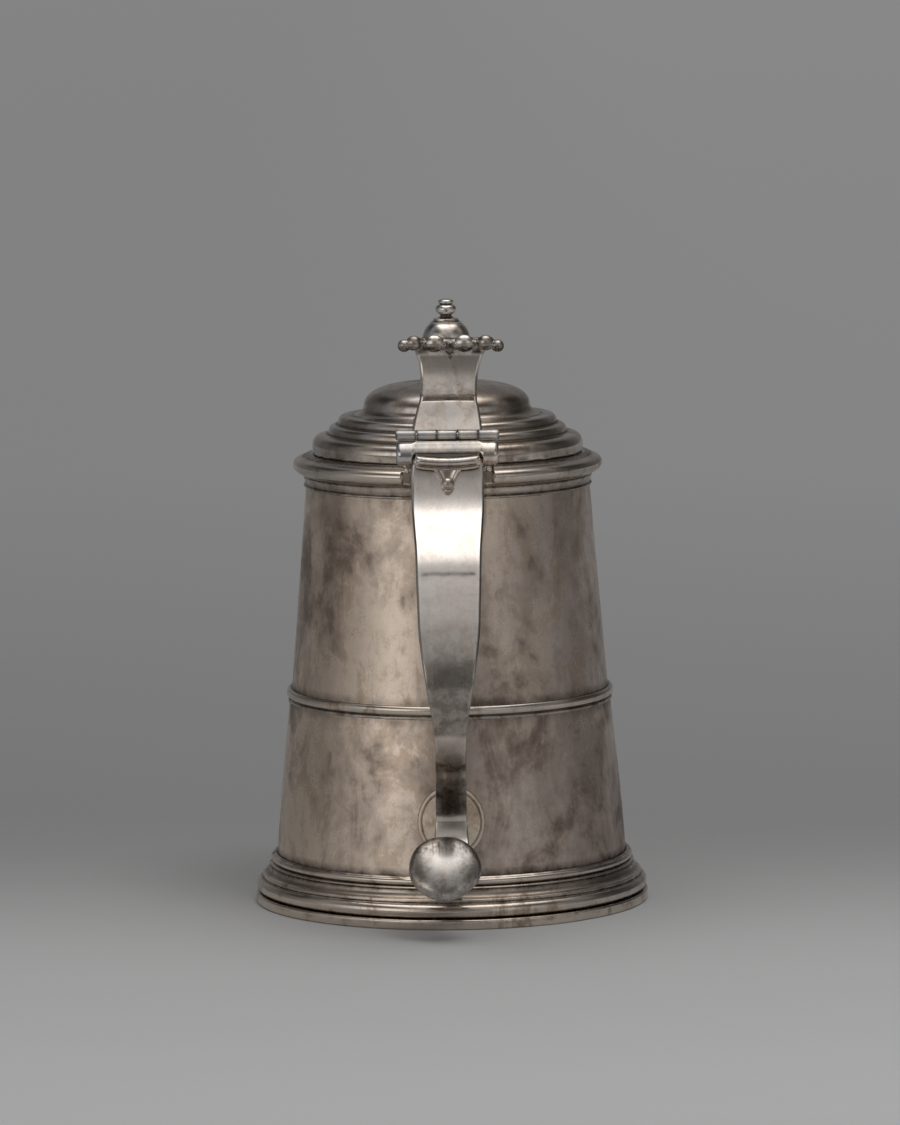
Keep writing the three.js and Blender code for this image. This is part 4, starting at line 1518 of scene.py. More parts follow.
@dataclass(frozen=True)
class Handle:
    """The hollow scroll handle: strap, trough, joint disc and the boss on its tail."""

    barrel: Barrel
    thickness: float = 1.5
    crown: float = 0.35
    bevel: float = 0.055
    disc_height: float = 35.0
    disc_half: tuple[float, float] = (11.2, 12.0)
    disc_thickness: float = 1.3
    disc_columns: int = 120
    trough_columns: int = 96
    smear: float = 121.3  # height of the dark smear across the strap
    boss_half: tuple[float, float] = (12.2, 12.2)
    boss_depth: float = 5.2
    boss_height: float = 23.2
    boss_out: float = 84.4
    boss_tilt: float = 0.68
    boss_shift: float = -2.3
    boss_columns: int = 144
    # How dark the strap is, by height: dark lines at its top, a smear, and on the lower strap and
    # tail tarnish together with painted dark reflections in bands, left clean at 66 to 69 where a
    # bright reflection falls
    dirt_and_painted_shade: tuple[tuple[float, float], ...] = (
        (24, 0.9), (28, 0.8), (29.5, 0.3), (33, 0.1), (38.8, 0.12), (39.8, 0.9), (48.5, 0.95),
        (50, 0.75), (52.8, 0.7), (54, 0.35), (55.2, 0.4), (56.2, 0.9), (59, 0.9), (60, 0.6),
        (62, 0.55), (63.5, 0.25), (66, 0.05), (68.8, 0.0), (70, 0.6), (74, 0.7), (84, 0.62),
        (92, 0.5), (98, 0.33), (106, 0.2), (113, 0.14), (120, 0.1), (127, 0.06), (129, 0.0),
        (150, 0.0), (153, 0.1), (155.7, 0.2), (156.2, 0.8), (156.8, 0.2), (158.6, 0.8),
    )
    # Half width, distance out and height of the strap's face, from the hinge down to the boss
    face: tuple[tuple[float, float, float], ...] = (
        (10.8, 58.7, 158.6), (12.0, 60.0, 152), (12.0, 62.2, 146.6), (11.9, 66.2, 140.6),
        (11.65, 69.6, 137.3), (11.3, 74.9, 133.2), (10.95, 79.6, 129.5), (10.8, 83.7, 125.4),
        (10.65, 87.9, 119.4), (10.4, 92.3, 112.8), (10.0, 98.2, 103.4), (8.7, 103.2, 92.9),
        (7.3, 104.1, 83.4), (5.7, 100.9, 73.5), (5.1, 92.9, 63.4), (5.1, 83.2, 54),
        (5.1, 75.2, 45.1), (5.1, 72, 39.6), (5.3, 71.8, 36.4), (5.7, 74.2, 31.2),
        (6.2, 80.6, 27.5),
    )
    # The same for the trough's underside, station by station
    under: tuple[tuple[float, float, float], ...] = (
        (16, 43, 146), (16, 43, 139), (16, 43, 134), (15.5, 43.5, 129),
        (14, 50, 124), (12.4, 59.5, 120), (11.3, 69.5, 116.5), (10.7, 74.5, 113),
        (10.4, 78, 109.5), (10.1, 82, 104), (9.6, 87, 98.3), (8.2, 91, 90.6),
        (6.9, 91.6, 84.5), (5.4, 90, 79.2), (4.8, 84.6, 72.4), (4.8, 75, 63.1),
        (4.8, 64, 53), (4.9, 56, 45), (5.0, 52, 37), (5.4, 60, 24.5),
        (5.6, 83, 21),
    )

    def face_path(self, count: int = 420) -> Array:
        """The strap's face as rows of half width, out and up."""
        return smooth_path(np.array(self.face, float), count)

    def strap(self) -> Surface:
        """The plate section carried down the face, dark where it meets the boss and the hinge, and
        darker down its lower part with tarnish and painted dark reflections.

        Returns:
            The closed skin.
        """
        path = self.face_path()
        section = Section.plate(self.thickness, self.crown, self.bevel, 8.0)
        surface = section.carried(path)
        x, up = surface.corners[:, 0], surface.corners[:, 2]
        smear = 0.85 * np.exp(-(((up - self.smear - 0.12 * np.sin(x)) / 0.7) ** 2))
        smear = smear * ease(-np.abs(x), -9.6, -8.2)
        # the table by height paints tarnish, and on the lower strap painted dark reflections in bands
        surface.grime_and_shade = np.maximum(np.interp(up, *np.array(self.dirt_and_painted_shade).T), smear)
        return surface

    def seat(self, x: Array, height: Array) -> Array:
        """The least distance from the axis that keeps the handle out of what it is soldered to:
        the barrel, the rim moulding's underside, or the joint disc inside its oval.

        Args:
            x: across.
            height: the height.

        Returns:
            The distance in mm.
        """
        wall = self.barrel.radius(height) + SEAM
        rim = np.where(height > self.barrel.rim_moulding - SEAM, self.barrel.rim_radius + SEAM, 0)
        a, b = self.disc_half
        oval = (x / a) ** 2 + ((height - self.disc_height) / b) ** 2
        disc = np.where(oval < 1, wall + self.disc_thickness + 0.1, 0)
        return np.maximum(wall, np.maximum(rim, disc))

    def trough(self) -> Surface:
        """The D-shaped body: at each station a half round from the strap's back to the underside,
        x = half * |cos a|^0.7, depth share sin(a)^0.8, then pushed out radially to its seat on the
        barrel.

        Returns:
            The closed skin.
        """
        face = self.face_path()
        under = smooth_path(np.array(self.under, float), len(face))
        first = len(face) // (len(self.face) - 1)
        out, up = face[:, 1], face[:, 2]
        d_out, d_up = np.gradient(out), np.gradient(up)
        size = np.hypot(d_out, d_up)
        back = self.thickness + SEAM
        start = np.stack([out + back * d_up / size, up - back * d_out / size], 1)
        angle = np.linspace(0, np.pi, self.trough_columns)[None, :]
        share = np.sin(angle) ** 0.8
        half = (face[:, :1] - 0.5) * (1 - share) + under[:, :1] * share
        x = half * np.sign(np.cos(angle)) * np.abs(np.cos(angle)) ** 0.7
        o = start[:, :1] + share * (under[:, 1:2] - start[:, :1])
        z = start[:, 1:] + share * (under[:, 2:] - start[:, 1:])
        x, o, z = x[first:], o[first:], z[first:]
        radius = np.hypot(x, o)
        least = self.seat(x, z)
        push = np.maximum(radius, least) / np.maximum(radius, 1e-6)
        # painted shade where the trough comes close to the barrel, spread wider towards the top; the
        # line where it meets the strap is a dark joint
        reach = 0.8 + 1.4 * ease(z, 120, 135)
        grime_and_shade = np.exp(-(((radius - least).clip(0) / reach) ** 2))
        grime_and_shade = np.maximum(grime_and_shade, np.exp(-((share / 0.06) ** 2)) * 0.8)
        return skin(placed(x * push, o * push, z), grime_and_shade=grime_and_shade)

    def disc(self) -> Surface:
        """The oval disc bent to the wall: a profile of (share, lift), drawn ten times as large,
        from its middle over a small raised edge and back, at places round the oval.

        Returns:
            The closed skin.
        """
        run = Profile(0, self.disc_thickness * 10).line(8.4, 13).curve(8.7, 11.6, 9.0, 13)
        run.curve(9.4, 17.0, 9.8, 12).line(10, 8).line(10, 0).line(0, 0)
        worn = run.worn(0.25, 0.5, 0.3) / 10
        share, lift = worn[:, 0:1], worn[:, 1:2]
        angle = np.arange(self.disc_columns)[None, :] * 2 * np.pi / self.disc_columns
        a, b = self.disc_half
        x, z = a * share * np.cos(angle), self.disc_height + b * share * np.sin(angle)
        out = np.sqrt((self.barrel.radius(z) + SEAM + lift) ** 2 - x**2)
        grime_and_shade = np.exp(-(((1 - share) / 0.035) ** 2)) * (lift < 0.9)
        grime_and_shade = np.maximum(grime_and_shade, 0.8 * np.exp(-(((share - 0.875) / 0.02) ** 2)))
        return skin(placed(x, out, z), ease(lift, 1.2, 1.45) * 0.8, grime_and_shade, poles=True)

    def boss(self) -> Surface:
        """A low oval dome with a rolled edge, tilted up and hammered a little out of true. It is
        painted darker towards its edge round a painted highlight in its middle, and painted black in
        streaks at its top as a dark reflection of the strap.

        Returns:
            The closed skin.
        """
        run = Profile(0, 0).line(8.8, 0).curve(10, 0.2, 10, 1.6).bow((9.9, 6.2), (7.2, 10), (0, 10))
        worn = run.worn(0.3, 0.25, 0.12, True) / 10
        share, lift = worn[:, 0:1], worn[:, 1:2]
        angle = np.arange(self.boss_columns)[None, :] * 2 * np.pi / self.boss_columns
        dents = 0.012 * np.sin(3 * angle + 1.0) + 0.01 * np.sin(5 * angle + 9 * share)
        x = self.boss_shift + self.boss_half[0] * share * np.cos(angle) * (1 + dents - 0.022)
        rise = self.boss_half[1] * share * np.sin(angle) * (1 + dents - 0.022)
        ahead = self.boss_depth * lift
        tip, level = math.sin(self.boss_tilt), math.cos(self.boss_tilt)
        z = self.boss_height + rise * level + ahead * tip
        out = self.boss_out + ahead * level - rise * tip
        # streaks and top: a painted dark reflection of the strap on the dome's upper part
        streaks = 0.8 + 0.12 * np.sin(2.9 * x + 1) + 0.08 * np.sin(6.3 * x + 0.4 * rise)
        top = 0.95 * ease(share * np.sin(angle) + 0.2 * share**2, 0.1, 0.5) * streaks
        # a dark joint at its base; the darkening towards the edge is painted shade that leaves a
        # painted highlight in the middle
        grime_and_shade = np.maximum(np.exp(-((lift / 0.1) ** 2)) * 0.5, 0.66 * ease(share, 0.16, 0.62))
        return skin(placed(x, out, z), grime_and_shade=np.maximum(grime_and_shade, top), poles=True)

    def build(self, bench: Bench) -> None:
        """Makes and dresses the four pieces.

        Args:
            bench: where they are dressed.
        """
        for node, surface, finish, slot in (
            ("handle_strap", self.strap(), STRAP_SILVER, Slot.HANDLE),
            ("handle_trough", self.trough(), STRAP_SILVER, Slot.HANDLE),
            ("lower_joint_disc", self.disc(), DISC_SILVER, Slot.BARREL),
            ("terminal_boss", self.boss(), CAST_SILVER, Slot.HANDLE),
        ):
            bench.dressed(node, surface, finish, slot, Body.VESSEL)


@dataclass(frozen=True)
class Hinge:
    """The five-knuckle hinge, its pin, plate, moulding, drop and leaf."""

    out: float = 56.5
    height: float = 163.9
    knuckle_radius: float = 1.6
    bore: float = 0.95
    pitch: float = 6.8
    count: int = 5
    pin_radius: float = 0.75
    leaf_half: float = 11.4
    leaf_thickness: float = 1.3
    leaf_arc: float = 32.0  # radius of its inner edge, round the dome
    leaf_short: float = 3.6  # how far it ends behind the hinge axis
    plate_half: float = 16.9
    # The gap at each end of the row and between neighbours, from the left
    gaps: tuple[float, ...] = (0.0, 0.34, 0.1, 0.38, 0.1, 0.0)
    # The plate's front, as distance out and height round its middle and round its end lobes
    front_middle: tuple[tuple[float, float], ...] = (
        (50, 162.0), (56.4, 162.1), (57.7, 161.7), (58.7, 160.5), (59.6, 159.2), (59.9, 158.4),
        (59.2, 157.9), (57.8, 157.6), (57.6, 154.5), (58.2, 151.0), (56.0, 148.3), (53.4, 148.3),
        (53.2, 154.6), (50, 155.6),
    )
    front_lobe: tuple[tuple[float, float], ...] = (
        (50, 162.0), (56.2, 162.1), (57.5, 161.7), (59.0, 160.4), (60.1, 158.8), (60.4, 157.2),
        (60.0, 155.6), (58.6, 154.4), (57.2, 153.9), (56.2, 153.9), (55.2, 154.0), (54.2, 154.2),
        (53.2, 154.8), (50, 155.6),
    )

    def across_axis(self, surface: Surface, x: float) -> Surface:
        """Lays a piece turned about the upright axis along the hinge axis instead.

        Args:
            surface: the piece, its length along Z.
            x: where its middle goes, across.

        Returns:
            The same skin, moved.
        """
        px, py, pz = surface.corners.T
        surface.corners = np.stack([pz + x, px - self.out, py + self.height], 1)
        return surface.outward()

    def knuckle(self, index: int) -> Surface:
        """One tube of the hinge, its edges worn round, with its own gap at either end.

        Args:
            index: its place in the row, 0 on the left.

        Returns:
            The closed skin.
        """
        low = -self.pitch / 2 + self.gaps[index] / 2
        high = self.pitch / 2 - self.gaps[index + 1] / 2
        run = Profile(self.bore, low).line(self.knuckle_radius, low)
        run.line(self.knuckle_radius, high).line(self.bore, high).close()
        ends = [(self.knuckle_radius, low), (self.knuckle_radius, high)]
        tube = Lathe(steps=48, work=None, wear=0.1, coarse=0.5).turned(run, ends)
        return self.across_axis(tube, (index - (self.count - 1) / 2) * self.pitch)

    def pin(self) -> Surface:
        """The pin, its ends riveted over into low domes.

        Returns:
            The closed skin.
        """
        half = (self.count * self.pitch + 0.4) / 2
        run = Profile(0, -half).curve(0.6, -half, self.pin_radius, 0.35 - half)
        run.line(self.pin_radius, half - 0.35).curve(0.6, half, 0, half)
        return self.across_axis(Lathe(steps=40, work=None, wear=0.08).turned(run), 0)

    def plate(self) -> Surface:
        """The block at the handle's top: a body in the lid's notch behind a broad rolled front.

        Returns:
            The two, with lumps of solder on them, each with a skin of its own.
        """
        body = [(49.8, 144.0), (59.0, 150.3), (57.8, 162.0), (49.8, 162.0)]
        solder = [((13.2, 52.7, 152.2), (1.4, 1.0, 1.1)), ((14.1, 51.9, 153.9), (1.0, 0.9, 0.8))]
        whole = self.block(11.2, body, 1.0).joined(self.rolled_front())
        for (x, out, up), radii in solder:
            for side in (-1, 1):
                whole = whole.joined(ball((side * x, -out, up + 0.3 * side), radii, 16))
        return whole

    def rolled_front(self) -> Surface:
        """The plate's front: one convex band under the knuckles, with a full lobe at each end.

        Each place across has a ring of points in (out, up). The ring is a smooth curve through
        stations that go from those of the middle to those of the lobes by a smooth step of
        |x|, and it shrinks to a rounded edge at both ends.

        Returns:
            The closed skin.
        """
        count, centre_out, centre_up = 150, 55.5, 157.5
        middle, lobe = (
            smooth_path(np.array(stations + stations[:1]), count + 1)[:-1]
            for stations in (self.front_middle, self.front_lobe)
        )
        x = self.plate_half * np.sin(np.linspace(-np.pi / 2, np.pi / 2, count))[:, None]
        side = ease(np.abs(x), 10.7, 11.9)
        shrink = 0.7 + 0.3 * round_over((self.plate_half - np.abs(x)) / 1.8)
        out = middle[:, 0] * (1 - side) + lobe[:, 0] * side
        up = middle[:, 1] * (1 - side) + lobe[:, 1] * side
        out = centre_out + (out - centre_out) * shrink
        up = centre_up + (up - centre_up) * shrink
        narrow = 1 - 0.14 * ease(155.0 - up, 0, 7)
        return skin(placed(x * narrow, out, up))

    def block(self, half: float, side: Sequence[Sequence[float]], round_end: float) -> Surface:
        """A side outline carried across the middle plane, its ends rounded over.

        Args:
            half: half the width.
            side: the outline's corners as (out, up).
            round_end: the length over which each end rounds over.

        Returns:
            The closed skin.
        """
        run = Profile(*side[0])
        for corner in side[1:]:
            run.line(*corner)
        ring = run.close().worn(0.22, 0.5, 0.3)
        t = np.linspace(-1, 1, 90)[:, None]
        inset = 1 - 0.12 * (1 - round_over((1 - np.abs(t)) * half / round_end))
        middle = ring.mean(0)
        out = middle[0] + (ring[None, :, 0] - middle[0]) * inset
        up = middle[1] + (ring[None, :, 1] - middle[1]) * inset
        return skin(placed(half * t, out, up))

    def moulding(self) -> Surface:
        """Two reeds across the strap, bowed up at their ends and rounded off there, with a small
        ball at each end.

        Returns:
            The reeds and balls, each with a skin of its own.
        """
        run = Profile(0, 152.4).line(0.8, 152.5).bead(0.7, 152.5, 153.5, 0.6)
        run.line(0.7, 153.7).bead(0.9, 153.9, 156.8, 1.5).line(0, 157.0)
        ring = run.close().worn(0.12, 0.3, 0.25)
        half, middle, bowed = 10.8, 154.4, 0.9
        t = np.linspace(-1, 1, 120)[:, None]
        thin = np.sqrt(np.clip(1 - np.abs(t) ** 14, 0.02, 1))
        proud = ring[None, :, 0] * thin
        up = middle + (ring[None, :, 1] - middle) * (0.6 + 0.4 * thin) + bowed * t**2
        face = 59.9 + (158.6 - up) * (1.1 / 8.6) + 0.3
        low = np.exp(-((ring[None, :, 0] / 0.5) ** 2))
        valley = np.exp(-(((ring[None, :, 1] - 154.0) / 0.25) ** 2))
        whole = skin(placed(half * t, face + proud, up), grime_and_shade=np.maximum(low, valley))
        for x in (-10.0, 10.0):
            whole = whole.joined(ball((x, -61.3, 155.4), (1.35, 1.2, 1.35), 20))
        return whole

    def drop(self) -> Surface:
        """A small shield that hangs from the moulding, with raised edges that curve in to a ball
        and a ring below it.

        Down the shield, at each share t, the half width is 2.1 + 2.7 (1 - t)^2.4. Across it the
        lift is that of a ring of points: a raised edge on both sides of a sunk middle.

        Returns:
            The shield, ball and ring, each with a skin of its own.
        """
        run = Profile(-10, -5).line(-10, 3).curve(-9.2, 11, -6.8, 6.0).curve(-6, 0.5, 0, 0)
        run.curve(6, 0.5, 6.8, 6.0).curve(9.2, 11, 10, 3).line(10, -5)
        ring = run.close().worn(0.3, 0.7, 0.3) / 10
        t = np.linspace(0, 1, 70)[:, None]
        half = 2.1 + 2.7 * (1 - t) ** 2.4
        round_off = np.sqrt(1 - ease(t, 0.72, 1.02) ** 2 * 0.96)
        up = 152.9 - 6.2 * t
        out = 62.0 + 0.35 * t + ring[None, :, 1] * 1.1
        shield = skin(placed(ring[None, :, 0] * half * round_off, out, up))
        bead = ball((0, -63.8, 148.4), (2.1, 1.9, 2.1))
        ring_below = ball((0, -63.4, 146.1), (1.35, 0.9, 0.6))
        return shield.joined(bead).joined(ring_below)

    def leaf(self) -> Surface:
        """The plate that ties the hinge to the lid: a thin rounded section in out and up, from the
        arc round the dome, sqrt(radius^2 - x^2), to just behind the hinge, at places across.

        Returns:
            The closed skin.
        """
        low = self.height + self.knuckle_radius + 0.3
        high = low + self.leaf_thickness
        t = np.linspace(-1, 1, 100)[:, None]
        run = Profile(0, low).line(10, low).line(10, high).line(0, high).close()
        ring = run.worn(0.2, 0.5, 0.3)
        share = ring[None, :, 0] / 10
        inner = np.sqrt(self.leaf_arc**2 - (self.leaf_half * t) ** 2)
        out = inner + (self.out - self.leaf_short - inner) * share
        flat = round_over((1 - np.abs(t)) * self.leaf_half / 0.5) * 0.8 + 0.2
        middle = (low + high) / 2
        up = middle + (ring[None, :, 1] - middle) * flat
        return skin(placed(self.leaf_half * t, out, up), grime_and_shade=ease(share, 0.97, 1.0) * 0.4)

    def build(self, bench: Bench) -> None:
        """Makes and dresses every piece of the hinge.

        Args:
            bench: where they are dressed.
        """
        for index in range(self.count):
            on_vessel = index % 2 == 0
            node = f"{'handle' if on_vessel else 'lid'}_knuckle_{index + 1}"
            body = Body.VESSEL if on_vessel else Body.LID
            bench.dressed(node, self.knuckle(index), KNUCKLE_SILVER, Slot.HINGE, body)
        for node, surface, body, voxel in (
            ("hinge_pin", self.pin(), Body.VESSEL, 0.0),
            ("handle_hinge_plate", self.plate(), Body.VESSEL, 0.22),
            ("hinge_moulding", self.moulding(), Body.VESSEL, 0.0),
            ("pendant_drop", self.drop(), Body.VESSEL, 0.1),
            ("lid_hinge_leaf", self.leaf(), Body.LID, 0.0),
        ):
            bench.dressed(node, surface, HINGE_SILVER, Slot.HINGE, body, voxel)


@dataclass(frozen=True)
class Thumbpiece:
    """The cast thumbpiece: a plate with a ledge, curled forward to a beaded lip."""

    thickness: float = 2.0
    foot: float = 165.0
    lean: float = 1.4  # how far the top stands to the right of the foot
    lean_over: float = 28.0  # the height over which it leans
    lip_out: float = 50.6
    # Half width, distance out and height of its back, from the lip down to the leaf
    back: tuple[tuple[float, float, float], ...] = (
        (14.4, 50.2, 193.9), (13.7, 48.4, 193.7), (12.9, 45.2, 192.9), (12.1, 42.9, 191.4),
        (11.4, 42.2, 189.4), (10.5, 42.2, 187.3), (9.9, 42.6, 184.6), (9.5, 43.5, 181.7),
        (9.4, 45.2, 178.5), (9.45, 46.9, 176.2), (9.55, 47.6, 175.4), (9.75, 48.9, 174.3),
        (10.05, 49.5, 173.4), (11.0, 51.9, 169.2), (11.8, 54.8, 164.6),
    )
    # Across, height, half width and half height of the beads and lobes along the lip
    beads: tuple[tuple[float, float, float, float], ...] = (
        (-13.9, 193.0, 2.2, 2.1), (-10.7, 193.8, 2.6, 2.5), (-7.4, 193.0, 1.6, 2.0),
        (-3.9, 193.6, 3.4, 2.9), (1.0, 192.4, 1.7, 2.2), (5.9, 193.6, 3.4, 2.9),
        (9.5, 193.0, 1.6, 2.0), (13.0, 193.7, 2.7, 2.6), (16.9, 192.7, 2.2, 2.1),
    )
    drop: tuple[float, float, float] = (1.0, 190.9, 1.0)
    tarnished: tuple[float, ...] = (-7.9, 0.9, 10.2)  # across, where the lip is black

    def plate(self) -> Surface:
        """The plate section carried down the back, thin at its lip, and sheared so that its top
        leans.

        Returns:
            The closed skin.
        """
        path = smooth_path(np.array(self.back, float), 260)
        section = Section.plate(self.thickness, 0.2, 0.07, 9.5)
        scale = 0.8 + 0.2 * ease(np.linspace(0, 1, len(path)), 0.02, 0.3)
        surface = section.carried(path, 0.8, scale)
        rise = (surface.corners[:, 2] - self.foot) / self.lean_over
        surface.corners[:, 0] += self.lean * rise.clip(0, 1)
        surface.corners[:, 2] = np.maximum(surface.corners[:, 2], self.foot)
        return surface

    def lip(self) -> Surface:
        """The beads, the lobes between them, the pointed drop in the middle and the bar behind.

        Returns:
            All of them, each with a skin of its own.
        """
        x, up, radius = self.drop
        whole = ball((x, -self.lip_out - 0.4, up), (radius, radius, radius))
        whole = whole.joined(ball((x + 0.2, -self.lip_out + 0.9, up - 1.6), (0.6, 1.6, 1.3)))
        whole = whole.joined(ball((1.5, -self.lip_out + 0.6, 193.3), (15.6, 1.9, 1.9), 40))
        for across, height, wide, tall in self.beads:
            whole = whole.joined(ball((across, -self.lip_out, height), (wide, 2.2, tall)))
        return whole

    def dirt_and_painted_shade(self, corners: Array) -> Array:
        """Painted shade under the lip and on the lower halves of its beads, a painted dark reflection
        in a band above the ledge, dark notches, tarnish at its ends and soiling at the foot.

        Args:
            corners: x, y and z in mm from the barrel's axis.

        Returns:
            One value for each corner.
        """
        x, out, up = corners[:, 0], -corners[:, 1], corners[:, 2]
        # painted shade on the face under the lip
        under = 0.75 * ease(up, 188.5, 191.0) * ease(-out, -self.lip_out + 2.5, -self.lip_out + 5)
        # a painted dark reflection of the lip, in a band above the ledge
        corner = 0.75 * np.exp(-(((up - 176.1) / 0.4) ** 2))
        lip = ease(out, 46.5, 48.0) * ease(up, 187.5, 189.0)
        # painted shade on the lower halves of the beads
        below = ease(-up, -193.9, -192.4) * lip
        ends = 0.6 * ease(np.abs(x - 1.5), 8.5, 11.0) * lip
        foot = 0.8 * ease(-up, -self.foot - 0.4, -self.foot)
        gap = (x[:, None] - np.array(self.tarnished)) / 2.2
        notches = np.exp(-(gap**4)).max(1) * ease(up, 188.5, 190.0)
        return np.maximum.reduce([under, corner, foot, notches, below, ends])

    def build(self, bench: Bench) -> None:
        """Makes and dresses the casting."""
        casting = self.plate().joined(self.lip())
        bench.dressed("thumbpiece", casting, CAST_SILVER, Slot.HANDLE, Body.LID, 0.2, self.dirt_and_painted_shade)


# The studio


@dataclass(frozen=True)
class Studio:
    """The grey sweep, the lit room and the camera of the photograph."""

    backdrop: float = 0.232
    floor_light: float = 0.648  # what the room and the lamp shed on open floor, over pi
    # How bright the room is round the horizon, by degrees from the camera towards its right
    horizon: tuple[tuple[float, float], ...] = (
        (-180, 0.2), (-160, 0.18), (-140, 0.12), (-121, 0.11), (-104, 0.16), (-88, 0.22),
        (-73, 0.38), (-59, 0.72), (-47, 1.02), (-34, 1.08), (-23, 0.64), (-13, 0.15), (0, 0.12),
        (13, 0.15), (22, 0.35), (31, 0.54), (43, 0.44), (56, 0.31), (74, 0.19), (94, 0.08),
        (112, 0.045), (130, 0.05), (142, 0.09), (160, 0.15), (180, 0.2),
    )
    # The same from the camera's horizon up over the tankard and down to the horizon behind it
    arch: tuple[tuple[float, float], ...] = (
        (0, 0.13), (15, 0.18), (22, 0.24), (30, 0.3), (38, 0.36), (47, 0.41), (54, 0.43),
        (60, 0.5), (66, 0.8), (72, 1.15), (80, 1.5), (90, 1.8), (100, 2.0), (106, 1.8),
        (112, 0.8), (120, 0.3), (140, 0.15), (180, 0.12),
    )
    bank_middle: float = 0.03  # how far the overhead bank is off centre, to the camera's right
    bank_full: float = 0.24  # how far to either side it is at its full brightness
    bank_end: float = 0.62  # how far to either side it has faded
    bank_rest: float = 0.12  # the share of its brightness left there
    steep_from: float = 12.0  # the rise in degrees from which the arch counts
    steep_full: float = 40.0  # the rise from which it alone counts
    # painted light: the floor's grey is made brighter to the camera's right
    floor_painted_lean: float = 0.12  # how much brighter the floor gets to the camera's right, per metre
    lean_half: float = 0.3  # how far to either side it does so, in metres
    floor_columns: int = 96
    floor_rings: int = 40
    floor_first: float = 0.05  # radius of the innermost ring, in metres
    floor_reach: float = 60.0
    floor_lit: float = 0.5  # how far out the floor takes the light, in metres
    floor_plain: float = 1.6  # how far out it has become plain
    paper_scale: float = 900.0
    paper_depth: float = 0.06  # how much the paper's grain varies the grey
    # The floor's grey, by metres behind the tankard's axis, painted brighter towards the front as a
    # pool of light
    floor_grey_and_light: tuple[tuple[float, float], ...] = (
        (-3.0, 0.1), (-0.9, 0.14), (-0.6, 0.3), (-0.42, 0.4), (-0.29, 0.376), (-0.193, 0.352),
        (-0.12, 0.338), (-0.075, 0.315), (-0.03, 0.29), (0.04, 0.235), (0.1, 0.205), (0.17, 0.19),
        (0.27, 0.192), (0.49, 0.198), (0.86, 0.212), (1.4, 0.228), (9.0, 0.239),
    )
    # The soft lamp for the shadow on the floor: its strength, its width in degrees, its direction
    key_strength: float = 0.45
    key_spread: float = 22.0
    key_way: tuple[float, float, float] = (-0.32, 0.36, -1.0)
    # The camera of the photograph, from its perspective: a long lens a little above the lid
    camera_height: float = 0.38618
    camera_away: float = 2.28807
    camera_side: float = 0.00048
    pitch: float = 6.7647
    roll: float = -0.62
    sensor: float = 36.0
    lens: float = 217.6

    def camera(self) -> None:
        """Adds the camera and makes it the scene's."""
        data = bpy.data.cameras.new("camera")
        data.sensor_width = self.sensor
        data.lens = self.lens
        data.clip_start, data.clip_end = 0.1, 200.0
        eye = bpy.data.objects.new("camera", data)
        bpy.context.scene.collection.objects.link(eye)
        place = Vector((self.camera_side, AXIS_Y - self.camera_away, self.camera_height))
        tip = Matrix.Rotation(math.radians(90 - self.pitch), 4, "X")
        tilt = Matrix.Rotation(math.radians(self.roll), 4, "Z")
        eye.matrix_world = Matrix.Translation(place) @ tip @ tilt
        bpy.context.scene.camera = eye

    def floor(self) -> None:
        """A wide grey disc, lit near the tankard and of a plain grey further off.

        Its grey follows Y, painted brighter towards the front as a pool of light, and brighter to the
        camera's right.
        """
        rings = np.geomspace(self.floor_first, self.floor_reach, self.floor_rings)[:, None]
        columns = self.floor_columns
        angle = np.arange(columns)[None, :] * 2 * np.pi / columns
        x, y = rings * np.cos(angle), AXIS_Y + rings * np.sin(angle)
        top = np.stack([x, y, np.zeros_like(x)], -1).reshape(-1, 3)
        corners = np.vstack([top, [[0.0, AXIS_Y, 0.0]]])
        quads = grid_quads(len(rings), columns, False)
        fan = [(len(top), i, (i + 1) % columns) for i in range(columns)]
        mesh = bpy.data.meshes.new("sweep")
        mesh.from_pydata(corners.tolist(), [], quads.tolist() + fan)
        floor = bpy.data.objects.new("sweep", mesh)
        bpy.context.scene.collection.objects.link(floor)
        mesh.materials.append(self.floor_material())

    def floor_material(self) -> bpy.types.Material:
        """Grey paper: diffuse near the tankard, and beyond that the same grey shown to the camera
        and in reflections only.

        Returns:
            The material.
        """
        made = bpy.data.materials.new("grey_sweep")
        made.use_nodes = True
        made.node_tree.nodes.clear()
        bench = NodeBench(made.node_tree)
        place = bench.node("ShaderNodeTexCoord").outputs["Object"]
        centred = bench.node("ShaderNodeMapping", Vector=place, Location=(0.0, -AXIS_Y, 0.0))
        right, behind, _ = bench.node("ShaderNodeSeparateXYZ", Vector=centred.outputs[0]).outputs
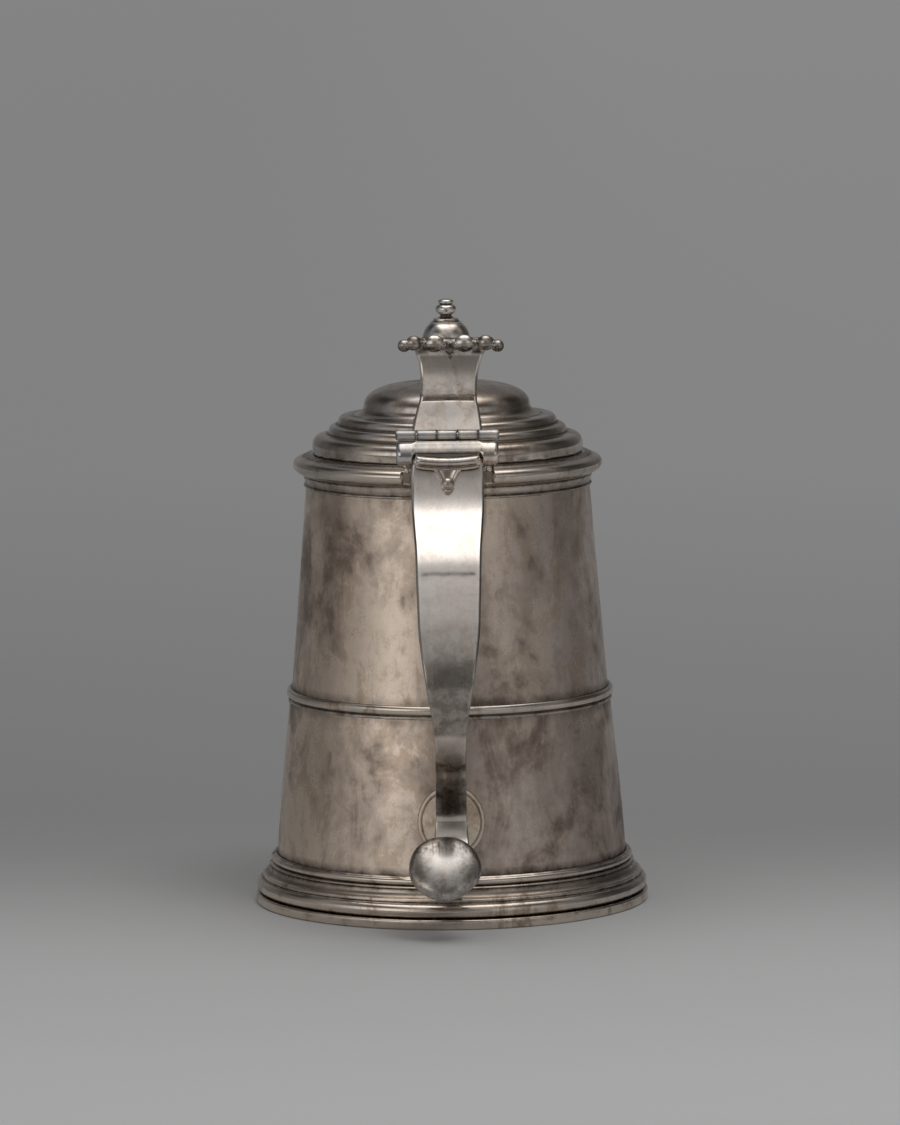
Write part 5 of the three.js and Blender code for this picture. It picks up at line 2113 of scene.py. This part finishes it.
        # painted light: the grey is brighter towards the front, and below to the camera's right
        grey = bench.curve(behind, self.floor_grey_and_light)
        half, change = self.lean_half, self.lean_half * self.floor_painted_lean
        grey = bench.calc("MULTIPLY", grey, bench.span(right, -half, half, 1 - change, 1 + change))
        paper = bench.noise(place, self.paper_scale, 3.0, 0.6)
        paper = bench.calc("MULTIPLY_ADD", paper, self.paper_depth, 1 - self.paper_depth / 2)
        grey = bench.calc("MULTIPLY", grey, paper)
        lit = bench.node("ShaderNodeCombineXYZ")
        for socket in lit.inputs:
            bench.put(socket, bench.calc("MULTIPLY", grey, 1 / self.floor_light))
        diffuse = bench.node("ShaderNodeBsdfDiffuse", Color=lit.outputs[0])
        path = bench.node("ShaderNodeLightPath")
        seen = bench.calc("MAXIMUM", path.outputs["Is Camera Ray"], path.outputs["Is Glossy Ray"])
        seen = bench.calc("MAXIMUM", seen, path.outputs["Is Transmission Ray"])
        glow = bench.node("ShaderNodeEmission", Strength=bench.calc("MULTIPLY", seen, grey))
        away = bench.node("ShaderNodeVectorMath", operation="LENGTH")
        bench.put(away.inputs[0], centred.outputs[0])
        far = bench.span(away.outputs["Value"], self.floor_lit, self.floor_plain)
        mixed = bench.node("ShaderNodeMixShader", Fac=far)
        bench.put(mixed.inputs[1], diffuse.outputs[0])
        bench.put(mixed.inputs[2], glow.outputs[0])
        bench.node("ShaderNodeOutputMaterial", Surface=mixed.outputs[0])
        return made

    def world(self) -> None:
        """The lit room: soft panels left and right of the camera with a dark gap between them, and
        a broad bank overhead that leans to the back. The camera itself sees plain grey.

        Low directions take the horizon's curve, and steep ones the arch's, which fades towards the
        sides.
        """
        made = bpy.data.worlds.new("studio")
        made.use_nodes = True
        made.node_tree.nodes.clear()
        bench = NodeBench(made.node_tree)
        way = bench.node("ShaderNodeTexCoord").outputs["Generated"]
        x, y, z = bench.node("ShaderNodeSeparateXYZ", Vector=way).outputs
        ahead = bench.calc("MULTIPLY", y, -1.0)
        degrees = 180 / math.pi
        azimuth = bench.calc("MULTIPLY", bench.calc("ARCTAN2", x, ahead), degrees)
        over = bench.calc("MULTIPLY", bench.calc("ARCTAN2", z, ahead), degrees)
        rise = bench.calc("MULTIPLY", bench.calc("ARCSINE", z), degrees)
        aside = bench.calc("ABSOLUTE", bench.calc("SUBTRACT", x, self.bank_middle))
        sideways = bench.span(aside, self.bank_full, self.bank_end, 1.0, self.bank_rest)
        high = bench.calc("MULTIPLY", bench.curve(over, self.arch), sideways)
        low = bench.curve(azimuth, self.horizon)
        steep = bench.span(rise, self.steep_from, self.steep_full)
        level = bench.calc("MULTIPLY_ADD", bench.calc("SUBTRACT", high, low), steep, low)
        camera = bench.node("ShaderNodeLightPath").outputs["Is Camera Ray"]
        change = bench.calc("SUBTRACT", self.backdrop, level)
        strength = bench.calc("MULTIPLY_ADD", change, camera, level)
        glow = bench.node("ShaderNodeBackground", Strength=strength)
        bench.put(glow.inputs["Color"], (1.0, 1.0, 1.0, 1.0))
        bench.node("ShaderNodeOutputWorld", Surface=glow.outputs[0])
        bpy.context.scene.world = made

    def key(self) -> None:
        """A soft lamp high in front on the right, for the shadow on the floor. Its light leaves
        reflections alone."""
        data = bpy.data.lights.new("key", "SUN")
        data.energy = self.key_strength
        data.angle = math.radians(self.key_spread)
        lamp = bpy.data.objects.new("key", data)
        bpy.context.scene.collection.objects.link(lamp)
        lamp.rotation_euler = Vector(self.key_way).to_track_quat("-Z", "Y").to_euler()
        lamp.visible_glossy = False

    def build(self) -> None:
        """Sets the camera, the sweep, the lamp and the lit room."""
        self.camera()
        self.key()
        self.floor()
        self.world()
        bpy.context.scene.view_settings.view_transform = "Standard"


def main() -> None:
    """Builds the studio and every sub-assembly."""
    logging.basicConfig(level=logging.INFO, format="%(message)s")
    Studio().build()
    bench = Bench(FinishShop())
    barrel = Barrel()
    for assembly in (barrel, Foot(barrel), Lid(), Handle(barrel), Hinge(), Thumbpiece()):
        assembly.build(bench)


if __name__ == "__main__":
    main()
